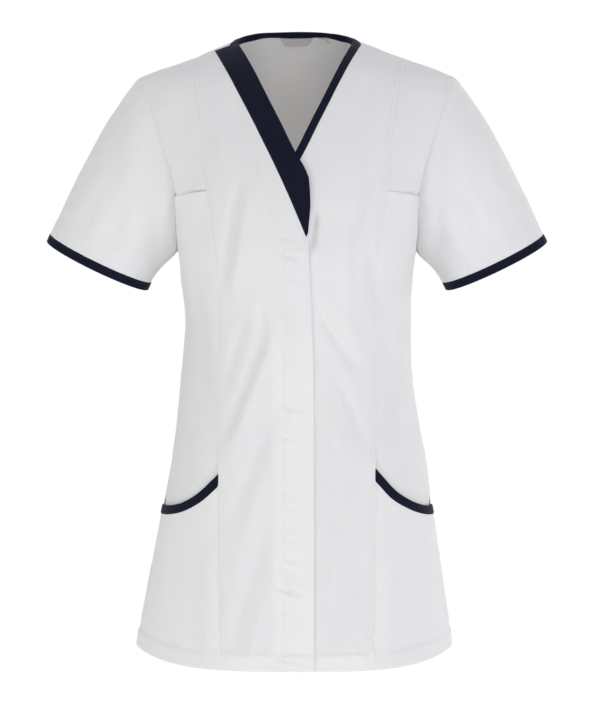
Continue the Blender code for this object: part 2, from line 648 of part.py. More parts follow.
def make_sleeve(sign, hand, white, navy):
    """A short sleeve, lofted from its armhole to the cuff, and the navy binding round the cuff."""
    start, away = (grid * np.array([sign, 1, 1]) for grid in armhole(sign))
    half = len(start) // 2
    steps = np.linalg.norm(np.diff(np.vstack([start, start[:1]]), axis=0), axis=1)
    run = np.concatenate([[0], np.cumsum(steps)])
    front, back = run[: half + 1] / run[half], (run[half:-1] - run[half]) / (run[-1] - run[half])
    turn = np.pi * np.concatenate([front, 1 + back[1:]])
    wide, deep = np.cos(turn)[:, None], np.sin(turn)[:, None]

    across = np.array([math.cos(CUFF_TILT), 0, math.sin(CUFF_TILT)])
    along = np.array([math.sin(CUFF_TILT), 0, -math.cos(CUFF_TILT)])
    forward = np.array([0, -1, 0])
    cuff = np.array(CUFF_CENTRE) + across * CUFF_HALF_WIDTH * wide
    cuff = cuff + forward * CUFF_HALF_DEPTH * deep + along * CUFF_FRONT_DIP * deep
    band_top = cuff - along * BINDING_WIDTH

    leave = np.maximum(wide, 0) ** 2 * SLEEVE_LEAVES["top"]
    leave = leave + np.maximum(-wide, 0) ** 2 * SLEEVE_LEAVES["underarm"]
    leave = leave + np.maximum(deep, 0) ** 2 * SLEEVE_LEAVES["front"]
    leave = unit(leave + np.maximum(-deep, 0) ** 2 * SLEEVE_LEAVES["back"])
    below_arm = ease((-wide - 0.2) / 0.5)
    start = start + leave * ARMHOLE_GAP * (1 - below_arm) + away * UNDERARM_GAP * below_arm
    reach = np.linalg.norm(band_top - start, axis=1, keepdims=True)
    rows = []
    for t in np.linspace(0, 1, SLEEVE_ROWS + 1):
        row = start * (1 + 2 * t) * (1 - t) ** 2 + band_top * t * t * (3 - 2 * t)
        rows.append(row + reach * (leave * t * (1 - t) ** 2 - along * t * t * (1 - t)))
    rows.append(cuff)
    grid = np.array(rows) * np.array([sign, 1, 1])
    cloth(f"sleeve_{hand}", [grid], CLOTH, white, closed=True)

    outward = unit(across * wide * CUFF_HALF_DEPTH + forward * deep * CUFF_HALF_WIDTH)
    outward = outward * np.array([sign, 1, 1])
    binding = folded_strip(grid[-2], grid[-1], outward, outward, FULL_FOLD)
    cloth(f"cuff_binding_{hand}", [binding.transpose(1, 0, 2)], TRIM_CLOTH, navy, closed=True)


def make_inside_label(name, centre_x, half_widths, top_gap, height, finish):
    """A small cloth piece on the inside of the back, hanging from under the neck binding."""
    rows = []
    for t, half in zip(np.linspace(0, 1, len(half_widths)), half_widths):
        x = centre_x + np.linspace(-1, 1, 5) * half
        angle = angle_at(x, np.full(5, -8 * MM), back=True)
        level = [level_below_neck(a, BINDING_WIDTH + top_gap + t * height) for a in angle]
        rows.append(torso(angle, np.array(level), LABEL_LIFT)[0])
    cloth(name, [np.array(rows)], TRIM_CLOTH, finish)


def build():
    """Make every piece of the tunic."""
    white = material("white_cloth", (0.80, 0.80, 0.81), 0.85)
    navy = material("navy_trim", (0.012, 0.016, 0.035), 0.8)
    grey = material("label_grey", (0.38, 0.38, 0.39), 0.8)
    make_neck_band(make_front_right(white), navy)
    left_panel = make_front_left(white)
    make_neck_binding(make_back(white), left_panel, navy)
    for sign, hand in ((1, "left"), (-1, "right")):
        make_side_fronts(sign, hand, white, navy)
        make_sleeve(sign, hand, white, navy)
    label_halves = (LABEL_WIDTH_TOP / 2, LABEL_WIDTH_FOOT / 2)
    make_inside_label("neck_label", 0, label_halves, 0.6 * MM, LABEL_HEIGHT, grey)
    tab_halves = (SIZE_TAB_WIDTH / 2, SIZE_TAB_WIDTH / 2)
    make_inside_label("size_tab", SIZE_TAB_X, tab_halves, 0.6 * MM, SIZE_TAB_HEIGHT, white)


build()
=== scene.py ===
"""The looks of a short-sleeved work tunic: white cloth, navy trims, and the stitching that holds it together.

Metres, +Z up. The tunic's front faces -Y and the wearer's left arm points to +X. The origin lies between the
neck points of the shoulder seams. Tables are in millimetres, with their columns named.
"""

import logging
import math
from dataclasses import dataclass, field
from enum import Enum
from typing import Callable, Sequence

import bpy
import numpy as np
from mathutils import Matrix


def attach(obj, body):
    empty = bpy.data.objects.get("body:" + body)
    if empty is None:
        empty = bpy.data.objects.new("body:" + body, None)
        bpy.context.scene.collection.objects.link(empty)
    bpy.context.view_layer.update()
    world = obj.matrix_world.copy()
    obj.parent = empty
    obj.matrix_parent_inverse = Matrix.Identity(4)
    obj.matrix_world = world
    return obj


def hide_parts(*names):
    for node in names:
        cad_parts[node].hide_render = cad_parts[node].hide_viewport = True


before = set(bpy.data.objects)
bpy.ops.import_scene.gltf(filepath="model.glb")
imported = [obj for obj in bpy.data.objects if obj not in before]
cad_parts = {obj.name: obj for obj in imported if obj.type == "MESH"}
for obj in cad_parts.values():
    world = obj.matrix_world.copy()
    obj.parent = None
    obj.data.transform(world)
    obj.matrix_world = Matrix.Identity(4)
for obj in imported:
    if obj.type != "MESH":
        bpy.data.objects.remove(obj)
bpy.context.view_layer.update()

LOG = logging.getLogger("work_tunic")
MM = 0.001
ROOT = "root"
Grid = np.ndarray
Pair = tuple[float, float]
Triple = tuple[float, float, float]
Curve = Callable[[np.ndarray], np.ndarray]
# How far the outer face of the cloth lies outside the surface that the cloth is laid on.
FACE_OUT = 0.6 * MM


class Face(Enum):
    """The half of the torso that a point lies on."""

    FRONT = "front"
    BACK = "back"


class Hand(Enum):
    """The wearer's left or right, with the sign that X has there."""

    RIGHT = -1
    LEFT = 1

    @property
    def word(self) -> str:
        """The hand as it is written in the names of pieces."""
        return self.name.lower()


class Edge(Enum):
    """How the cloth of a panel is sewn along a side."""

    SUNK = "drawn down into the seam"
    RAISED = "drawn down, over the seam's allowances and topstitched"


def ease(t: np.ndarray) -> np.ndarray:
    """Return 0 up to 0, 1 from 1 on and a smooth step between."""
    t = np.clip(t, 0, 1)
    return t * t * (3 - 2 * t)


def unit(vectors: Grid) -> Grid:
    """Return the vectors at length 1."""
    return vectors / np.maximum(np.linalg.norm(vectors, axis=-1, keepdims=True), 1e-12)


def smooth_curve(places: Sequence[float], values: Sequence[float]) -> Curve:
    """Make a curve through points that never overshoots them.

    Args:
        places: where the points lie, in any order.
        values: the curve's value at each.

    Returns:
        A function of the place, held level beyond the ends.
    """
    order = np.argsort(places)
    x, y = np.asarray(places, float)[order], np.asarray(values, float)[order]
    run = np.diff(x)
    slope = np.diff(y) / run
    tangent = np.zeros(len(x))
    same_way = slope[:-1] * slope[1:] > 0
    weight_a, weight_b = 2 * run[1:] + run[:-1], run[1:] + 2 * run[:-1]
    with np.errstate(divide="ignore", invalid="ignore"):
        mean = (weight_a + weight_b) / (weight_a / slope[:-1] + weight_b / slope[1:])
    tangent[1:-1] = np.where(same_way, mean, 0)
    tangent[0], tangent[-1] = slope[0], slope[-1]

    def at(q: np.ndarray) -> np.ndarray:
        """Read the curve.

        Args:
            q: the places to read it at.

        Returns:
            The curve's value at each.
        """
        q = np.clip(q, x[0], x[-1])
        i = np.clip(np.searchsorted(x, q) - 1, 0, len(run) - 1)
        t = (q - x[i]) / run[i]
        rise = y[i] * (1 + 2 * t) * (1 - t) ** 2 + y[i + 1] * t**2 * (3 - 2 * t)
        return rise + run[i] * (tangent[i] * t * (1 - t) ** 2 - tangent[i + 1] * t**2 * (1 - t))

    return at


def run_along(points: Grid, axis: int) -> Grid:
    """Measure how far along a grid each point lies.

    Args:
        points: rows and columns of points.
        axis: 0 to run up from the first row, 1 to run over from the first column.

    Returns:
        Each point's distance.
    """
    steps = np.linalg.norm(np.diff(points, axis=axis), axis=-1)
    start = np.zeros_like(np.take(steps, [0], axis=axis))
    return np.concatenate([start, np.cumsum(steps, axis=axis)], axis=axis)


def read_line(places: Grid | float, run: Grid, values: Grid) -> Grid:
    """Read vectors that lie along a run at other places of it."""
    return np.stack([np.interp(places, run, values[:, k]) for k in range(3)], axis=-1)


@dataclass(frozen=True)
class Fold:
    """A soft trough or ridge along a straight run of cloth, in millimetres, seen from the front or back."""

    x0: float
    z0: float
    x1: float
    z1: float
    half_width: float
    height: float
    lean: float = 0.0

    def lift(self, x: Grid, z: Grid) -> Grid:
        """Work out how far the fold lifts the cloth.

        Args:
            x: distances from the centre, in metres.
            z: heights, in metres.

        Returns:
            The lift at each place, in metres.
        """
        run_x, run_z = (self.x1 - self.x0) * MM, (self.z1 - self.z0) * MM
        length = math.hypot(run_x, run_z)
        dx, dz = x - self.x0 * MM, z - self.z0 * MM
        along = (dx * run_x + dz * run_z) / length**2
        across = (dx * run_z - dz * run_x) / length / (self.half_width * MM)
        past_end, fade = 0.2, 0.45
        ends = ease((along + past_end) / fade) * ease((1 + past_end - along) / fade)
        return self.height * MM * ends * np.exp(-(across**2)) * (1 + self.lean * np.tanh(across))


@dataclass(frozen=True)
class Rumple:
    """The slight unevenness of washed cloth: many faint waves that cross each other."""

    seed: int
    count: int
    shortest: float
    longest: float
    depth: float

    def lift(self, points: Grid) -> Grid:
        """Add up the waves.

        Args:
            points: the points of the cloth.

        Returns:
            The lift at each point, in metres.
        """
        dice = np.random.default_rng(self.seed)
        mostly_across = np.array([1.0, 1.0, 0.55])
        ways = unit(dice.normal(size=(self.count, 3)) * mostly_across)
        lengths = np.exp(dice.uniform(math.log(self.shortest), math.log(self.longest), self.count))
        starts = dice.uniform(0, 2 * math.pi, self.count)
        total = np.zeros(points.shape[:-1])
        for way, length, start in zip(ways, lengths, starts):
            total += np.sin(points @ way * (2 * math.pi / length) + start) * (length / self.longest)
        return total * self.depth * math.sqrt(2 / self.count)


@dataclass(frozen=True)
class TorsoForm:
    """The worn shape of the tunic's body: a section for each level, with the levels of hem, arm and neck."""

    side_hem: float = -717 * MM
    hem_drop: float = 20 * MM
    hem_fade_from: float = -480 * MM
    back_neck_rise: float = 18 * MM
    back_rise_fades_by: float = -150 * MM
    neck_stand: float = 21 * MM
    neck_stand_fades_by: float = -22 * MM
    columns: tuple[str, ...] = ("level", "right", "left", "front", "back", "square_front", "square_back")
    sections: tuple[tuple[float, ...], ...] = (
        (0, 72, 68, 14, 58, 2.00, 2.30),
        (-10, 101.5, 101.5, 36, 67, 2.00, 2.25),
        (-20, 131, 131, 49, 74, 2.00, 2.20),
        (-33, 169, 169, 61, 82, 2.02, 2.20),
        (-48, 199, 199, 72, 89, 2.06, 2.22),
        (-64, 209, 209, 82, 95, 2.10, 2.25),
        (-84, 205, 205, 92, 100, 2.16, 2.30),
        (-120, 187, 187, 107, 107, 2.26, 2.36),
        (-158, 168, 168, 119, 109, 2.36, 2.40),
        (-200, 152, 152, 127, 107, 2.48, 2.38),
        (-245, 142.5, 142.5, 130, 102, 2.50, 2.32),
        (-277, 138.5, 138.5, 127, 97, 2.44, 2.28),
        (-332, 133, 136.5, 119, 90, 2.32, 2.22),
        (-382, 137, 137, 114, 88, 2.26, 2.22),
        (-445, 143.5, 144, 115, 95, 2.28, 2.26),
        (-499, 150, 153.5, 119, 104, 2.30, 2.28),
        (-548, 159, 160, 123, 110, 2.30, 2.26),
        (-626, 174, 173, 128, 116, 2.28, 2.24),
        (-690, 186, 182, 132, 120, 2.26, 2.22),
        (-717, 191, 185, 133, 121, 2.26, 2.22),
    )

    def curve(self, column: str) -> Curve:
        """Read one column of the sections.

        Args:
            column: the column's name.

        Returns:
            Its values as a curve over the level.
        """
        k = self.columns.index(column)
        scale = 1.0 if column.startswith("square") else MM
        return smooth_curve([row[0] * MM for row in self.sections], [row[k] * scale for row in self.sections])

    def half_width(self, hand: Hand, level: Grid) -> Grid:
        """Return the distance from the centre to a side seam."""
        return self.curve(hand.word)(level)

    def point(self, angle: Grid, level: Grid) -> Grid:
        """Find points of the torso without folds.

        Args:
            angle: 0 at the left side seam, a quarter turn at the centre front, a half at the right side seam.
            level: the height before the hem's drop and the back neck's rise.

        Returns:
            Points, one for each angle and level.
        """
        angle, level = np.broadcast_arrays(np.asarray(angle, float), np.asarray(level, float))
        cosine, sine = np.cos(angle), np.sin(angle)
        front = sine >= 0
        square = np.where(front, self.curve("square_front")(level), self.curve("square_back")(level))
        half = np.where(cosine >= 0, self.curve("left")(level), self.curve("right")(level))
        depth = np.where(front, self.curve("front")(level), self.curve("back")(level))
        x = half * np.sign(cosine) * np.abs(cosine) ** (2 / square)
        share = np.abs(sine) ** (2 / square)
        y = np.where(front, -1, 1) * depth * share
        soft = self.back_neck_rise * (1 - np.cos(np.pi * share)) / 2
        stand = (self.neck_stand * share**0.9 - soft) * ease(1 - level / self.neck_stand_fades_by)
        rise = soft * ease(1 - level / self.back_rise_fades_by) + stand
        sink = ease((level - self.hem_fade_from) / (self.side_hem - self.hem_fade_from))
        z = level + np.where(front, 0, rise) - self.hem_drop * (1 - cosine**4) * sink
        return np.stack([x, y, z], axis=-1)

    def normal(self, angle: Grid, level: Grid) -> Grid:
        """Find the outward normals at the same points.

        Args:
            angle: as for point.
            level: as for point.

        Returns:
            Unit normals, one for each angle and level.
        """
        turn, step = 2e-3, 0.5 * MM
        around = self.point(angle + turn, level) - self.point(angle - turn, level)
        up = self.point(angle, np.minimum(level + step, 0)) - self.point(angle, level - step)
        return unit(np.cross(up, around))

    def levels_below_neck(self, angles: Grid, width: float) -> Grid:
        """Find the levels that lie a width below the neck edge.

        Args:
            angles: the angles to look at.
            width: the distance down from the neck edge, measured on the cloth.

        Returns:
            The level at each angle.
        """
        deepest, steps = -30 * MM, 121
        down = np.linspace(0, deepest, steps)
        found = []
        for turn in angles:
            line = self.point(np.full(len(down), turn), down)
            run = run_along(line[:, None], 0)[:, 0]
            found.append(float(np.interp(width, run, down)))
        return np.array(found)

    def angle_at(self, x: Grid, level: Grid, face: Face) -> Grid:
        """Find where a distance from the centre lies on a face.

        Args:
            x: the distance from the centre, with its sign.
            level: the height.
            face: the front or the back.

        Returns:
            The angle of each point.
        """
        square = self.curve("square_front" if face is Face.FRONT else "square_back")(level)
        half = np.where(np.asarray(x) >= 0, self.curve("left")(level), self.curve("right")(level))
        cosine = np.sign(x) * np.minimum(np.abs(x) / half, 1) ** (square / 2)
        angle = np.arccos(np.clip(cosine, -1, 1))
        return angle if face is Face.FRONT else 2 * np.pi - angle


@dataclass(frozen=True)
class Pattern:
    """Where the cut lines lie on the torso, and the rows of points that cross them from the hem up."""

    form: TorsoForm = TorsoForm()
    row_step: float = 3.0
    close_rows: dict[int, float] = field(default_factory=lambda: {0: 1.5, 1: 1.0, 2: 2.4, 17: 2.2, 18: 1.5})
    lines: dict[str, tuple[Pair, ...]] = field(
        default_factory=lambda: {
            # Each row: level, distance from the centre.
            "neck_right": (
                *((0, -72), (-39, -51), (-69, -36.6), (-97, -22.8)),
                *((-139, -2.6), (-157, 7.8), (-168, 12.4)),
            ),
            "neck_left": (
                *((0, 68), (-20, 57.2), (-39, 47.6), (-69, 32.8)),
                *((-110, 12.5), (-136, 0), (-163, -15)),
            ),
            "front_edge": (
                *((-168, 12.4), (-182, 13.6), (-200, 14.2), (-234, 12.2)),
                *((-300, 15), (-400, 18.4), (-717, 19)),
            ),
            "band": ((-9, -98.5), (-76, -63.4), (-135, -34.5), (-185, -11.3), (-237, 10.6)),
            "princess": (
                *((-20, 131), (-55, 120), (-110, 112), (-183, 104), (-260, 94)),
                *((-340, 91), (-480, 91), (-600, 90), (-717, 88)),
            ),
            "back_dart": ((-20, 131), (-110, 112), (-183, 100), (-340, 88), (-480, 92), (-717, 92)),
            "armhole_front": (
                *((-40, 189.5), (-50, 182), (-82, 171), (-120, 158.5)),
                *((-158, 147), (-187, 142), (-245, 142)),
            ),
            "armhole_back": (
                *((-40, 189.5), (-50, 186), (-82, 178), (-120, 167)),
                *((-158, 156), (-187, 149), (-245, 142)),
            ),
        }
    )
    rows_low: tuple[float, ...] = (
        *(-717, -698, -694, -660, -620, -580, -540),
        *(-500, -460, -420, -380, -340, -300),
    )
    rows_waist: tuple[float, ...] = (-271, -245)
    rows_high: dict[str, tuple[float, ...]] = field(
        default_factory=lambda: {
            "right_edge": (-234, -218, -200, -183, -168, -136, -108, -80, -58, -40, -26, -15, -7, -2, 0),
            "left_edge": (-234, -218, -200, -183, -163, -136, -108, -80, -58, -40, -26, -15, -7, -2, 0),
            "band": (-237, -221, -204, -187, -168, -139, -111, -85, -64, -47, -34, -24, -16, -11, -9),
            "princess": (-236, -219, -201, -183, -160, -133, -106, -82, -62, -48, -37, -29, -24, -21, -20),
            "armhole": (
                *(-243.6, -236, -216, -187, -163, -135, -108, -86, -69),
                *(-57, -49, -44, -41.6, -40.4, -40),
            ),
        }
    )

    @property
    def low_count(self) -> int:
        """The number of rows below the armhole."""
        return len(self.rows_low) + len(self.rows_waist)

    def levels(self, rows: str) -> np.ndarray:
        """Return the levels of the coarse rows on a line, in metres."""
        return np.array(self.rows_low + self.rows_waist + self.rows_high[rows], float) * MM

    def places(self) -> np.ndarray:
        """Share the coarse rows out into fine ones.

        Returns:
            Each fine row's place, counted in coarse rows from the hem.
        """
        tall = np.max([np.abs(np.diff(self.levels(rows))) for rows in self.rows_high], axis=0)
        steps = [self.close_rows.get(i, self.row_step) * MM for i in range(len(tall))]
        runs = [
            np.linspace(i, i + 1, max(1, math.ceil(height / step)), endpoint=False)
            for i, (height, step) in enumerate(zip(tall, steps))
        ]
        return np.concatenate([*runs, [len(tall)]])

    def fine_levels(self, rows: str) -> np.ndarray:
        """Return the levels of the fine rows on a line."""
        levels = self.levels(rows)
        return np.interp(self.places(), np.arange(len(levels)), levels)

    def row_at(self, place: float) -> int:
        """Return the fine row at a coarse row's place."""
        return int(np.argmin(np.abs(self.places() - place)))

    def x_of(self, line: str, level: Grid) -> Grid:
        """Return a cut line's distance from the centre."""
        table = self.lines[line]
        return smooth_curve([row[0] * MM for row in table], [row[1] * MM for row in table])(level)

    def pairs(self, x: Grid, level: Grid, face: Face = Face.FRONT) -> Grid:
        """Return pairs of angle and level for distances from the centre."""
        return np.stack([self.form.angle_at(x, level, face), level], axis=-1)

    def line(self, name: str, rows: str, hand: Hand = Hand.LEFT, face: Face = Face.FRONT) -> Grid:
        """Return a cut line as pairs of angle and level at the fine rows."""
        level = self.fine_levels(rows)
        return self.pairs(hand.value * self.x_of(name, level), level, face)

    def side_line(self, hand: Hand, face: Face) -> Grid:
        """Follow the side seam and the armhole above it.

        Args:
            hand: the side.
            face: the front or the back.

        Returns:
            Pairs of angle and level at the fine rows.
        """
        level = self.fine_levels("armhole")
        half = self.form.half_width(hand, level)
        x = np.minimum(self.x_of(f"armhole_{face.value}", level), half)
        x = np.where(self.places() <= self.low_count - 1, half, x)
        x[-1] = half[-1]
        return self.pairs(hand.value * x, level, face)

    @staticmethod
    def fill(left: Grid, right: Grid, foot: Grid, top: Grid) -> Grid:
        """Fill in a grid of pairs between its four sides.

        Args:
            left: the first column.
            right: the last column.
            foot: the first row.
            top: the last row.

        Returns:
            Rows and columns of pairs.
        """
        rows, columns = len(left), len(foot)
        v, u = np.linspace(0, 1, rows)[:, None, None], np.linspace(0, 1, columns)[None, :, None]
        ruled_up = (1 - v) * foot[None] + v * top[None]
        ruled_over = (1 - u) * left[:, None] + u * right[:, None]
        corners = (1 - u) * ((1 - v) * foot[0] + v * top[0]) + u * ((1 - v) * foot[-1] + v * top[-1])
        return ruled_up + ruled_over - corners

    @staticmethod
    def spread(domain: Grid) -> Grid:
        """Share each row's angles out from the foot's shares to the top's, so that no column crosses another.

        Args:
            domain: rows and columns of pairs.

        Returns:
            The same rows, with their angles shared out anew.
        """
        foot, top = ((row[:, 0] - row[0, 0]) / (row[-1, 0] - row[0, 0]) for row in (domain[0], domain[-1]))
        up = np.linspace(0, 1, len(domain))[:, None]
        first, last = domain[:, :1, 0], domain[:, -1:, 0]
        angles = first + (last - first) * ((1 - up) * foot + up * top)
        return np.stack([angles, domain[..., 1]], axis=-1)

    @staticmethod
    def straight(start: Grid, end: Grid, columns: int) -> Grid:
        """Return a straight run of pairs."""
        t = np.linspace(0, 1, columns + 1)[:, None]
        return (1 - t) * start + t * end

    def between(self, left: Grid, right: Grid, columns: int) -> Grid:
        """Fill in a grid between two cut lines."""
        foot, top = self.straight(left[0], right[0], columns), self.straight(left[-1], right[-1], columns)
        return self.fill(left, right, foot, top)


@dataclass(frozen=True)
class Drape:
    """All the folds of the worn body, by face, and the cloth's unevenness."""

    pattern: Pattern = field(default_factory=Pattern)
    overlap_middle: float = 2 * MM
    overlap_half: float = 17 * MM
    overlap_fade: float = 12 * MM
    overlap_waves: float = 0.35
    calm_side: float = 0.35
    front: tuple[Fold, ...] = (
        Fold(-66, -176, -84, -286, 6.5, -4.2, 0.3),
        Fold(-56, -190, -74, -300, 7, 1.6),
        Fold(-44, -140, -16, -226, 6, -1.8),
        Fold(-52, -150, -26, -240, 7, 1.2),
        Fold(-41, -316, -41, -374, 6, -2.6),
        Fold(-24, -346, -72, -484, 10, 3.6, 0.3),
        Fold(-40, -356, -82, -468, 7, -2.4),
        Fold(-58, -322, -86, -420, 7, -2.0),
        Fold(-32, -452, -76, -566, 9, -2.6, 0.3),
        Fold(-34, -500, -70, -610, 8, 2.0),
        Fold(-36, -572, -80, -716, 9, -3.0, -0.3),
        Fold(-32, -640, -58, -728, 7, 1.8),
        Fold(-84, -640, -74, -724, 6, 1.4),
        Fold(22, -318, 66, -386, 6.5, -4.2, -0.3),
        Fold(28, -302, 78, -366, 8, 1.8),
        Fold(88, -160, 74, -226, 6.5, -3.4, 0.2),
        Fold(76, -150, 60, -232, 8, 1.5),
        Fold(59, -240, 57, -320, 8, 2.8),
        Fold(82, -250, 97, -320, 7, -2.8),
        Fold(33, -430, 52, -478, 8, 2.8),
        Fold(48, -400, 80, -476, 7, -2.2),
        Fold(30, -500, 58, -596, 9, -2.2),
        Fold(60, -530, 40, -640, 9, 2.0),
        Fold(72, -600, 40, -704, 9, -2.4),
        Fold(62, -650, 56, -720, 8, 1.2),
        Fold(-118, -290, -98, -440, 8, -3.0, 0.3),
        Fold(-106, -300, -92, -400, 6, 1.6),
        Fold(-132, -400, -108, -520, 8, 2.4),
        Fold(-140, -300, -112, -372, 8, -2.0),
        Fold(128, -300, 104, -452, 8, -3.0, -0.3),
        Fold(115, -400, 136, -470, 7, -2.4),
        Fold(140, -306, 112, -360, 8, -2.0),
        Fold(-122, -268, -66, -330, 7, -2.0),
        Fold(126, -262, 76, -322, 7, -2.0),
        Fold(-74, -62, -54, -136, 8, -2.0),
        Fold(-94, -66, -88, -150, 9, 1.5),
        Fold(84, -50, 56, -126, 8, -2.2),
        Fold(100, -70, 92, -150, 9, 1.5),
        Fold(-140, -70, -118, -168, 9, -2.0),
        Fold(142, -70, 120, -168, 9, -2.0),
        Fold(-150, -560, -160, -700, 9, 2.4),
        Fold(150, -560, 158, -700, 9, 2.4),
        Fold(-122, -590, -118, -728, 8, -2.4),
        Fold(124, -585, 120, -728, 8, -2.4),
        Fold(-104, -610, -106, -728, 7, 1.6),
        Fold(102, -600, 108, -728, 7, 1.4),
    )
    back: tuple[Fold, ...] = (
        Fold(-60, -330, -104, -436, 15, -3.2, 0.3),
        Fold(66, -318, 100, -442, 15, -3.2, -0.3),
        Fold(-24, -366, 40, -398, 11, -2.6, 0.4),
        Fold(30, -338, -34, -352, 9, -1.6),
        Fold(-96, -300, -30, -330, 10, -1.8),
        Fold(104, -296, 44, -322, 10, -1.8),
        Fold(-72, -470, -96, -716, 22, 4.0),
        Fold(12, -480, 4, -716, 24, 3.6),
        Fold(84, -470, 108, -716, 22, 4.0),
        Fold(-34, -520, -46, -716, 15, -2.2),
        Fold(48, -520, 60, -716, 15, -2.2),
        Fold(-96, -66, -58, -156, 15, -2.4),
        Fold(98, -72, 62, -160, 15, -2.4),
        Fold(-116, -170, -88, -280, 12, -2.0, 0.3),
        Fold(118, -166, 92, -276, 12, -2.0, -0.3),
        Fold(0, -120, -4, -280, 26, -1.8),
    )
    slow_waves: Rumple = Rumple(seed=11, count=26, shortest=0.07, longest=0.19, depth=0.85 * MM)
    quick_waves: Rumple = Rumple(seed=23, count=34, shortest=0.018, longest=0.05, depth=0.30 * MM)
    creases: Rumple = Rumple(seed=5, count=30, shortest=0.009, longest=0.022, depth=0.045 * MM)

    def surface(self, domain: Grid) -> tuple[Grid, Grid]:
        """Lay cloth on the torso, folds and all.

        Args:
            domain: pairs of angle and level.

        Returns:
            Points in the middle of the cloth, and their outward normals.
        """
        form = self.pattern.form
        angle, level = domain[..., 0], domain[..., 1]
        point, normal = form.point(angle, level), form.normal(angle, level)
        x, z = point[..., 0], point[..., 2]
        front, back = (sum(fold.lift(x, z) for fold in folds) for folds in (self.front, self.back))
        in_front = np.sin(angle) >= 0
        clear = ease((np.abs(x - self.overlap_middle) - self.overlap_half) / self.overlap_fade)
        total = np.where(in_front, front * clear, back)
        total = total * ease(np.abs(np.sin(angle)) / self.calm_side)
        strength = self.overlap_waves + (1 - self.overlap_waves) * clear
        waves = self.slow_waves.lift(point) * np.where(in_front, strength, 1)
        total = total + waves + self.quick_waves.lift(point) + self.creases.lift(point)
        return point + normal * total[..., None], normal


def add_node(
    tree: bpy.types.NodeTree,
    kind: str,
    values: dict[str | int, object] | None = None,
    links: dict[str | int, bpy.types.NodeSocket] | None = None,
    **settings: str,
) -> bpy.types.Node:
    """Add a node to a material or to the surroundings.

    Args:
        tree: the nodes that it joins.
        kind: its kind.
        values: the values of its sockets, by name or number.
        links: what feeds its other sockets.
        settings: its own settings.

    Returns:
        The new node.
    """
    node = tree.nodes.new(kind)
    for name, value in settings.items():
        setattr(node, name, value)
    for name, value in (values or {}).items():
        node.inputs[name].default_value = value
    for name, socket in (links or {}).items():
        tree.links.new(socket, node.inputs[name])
    return node


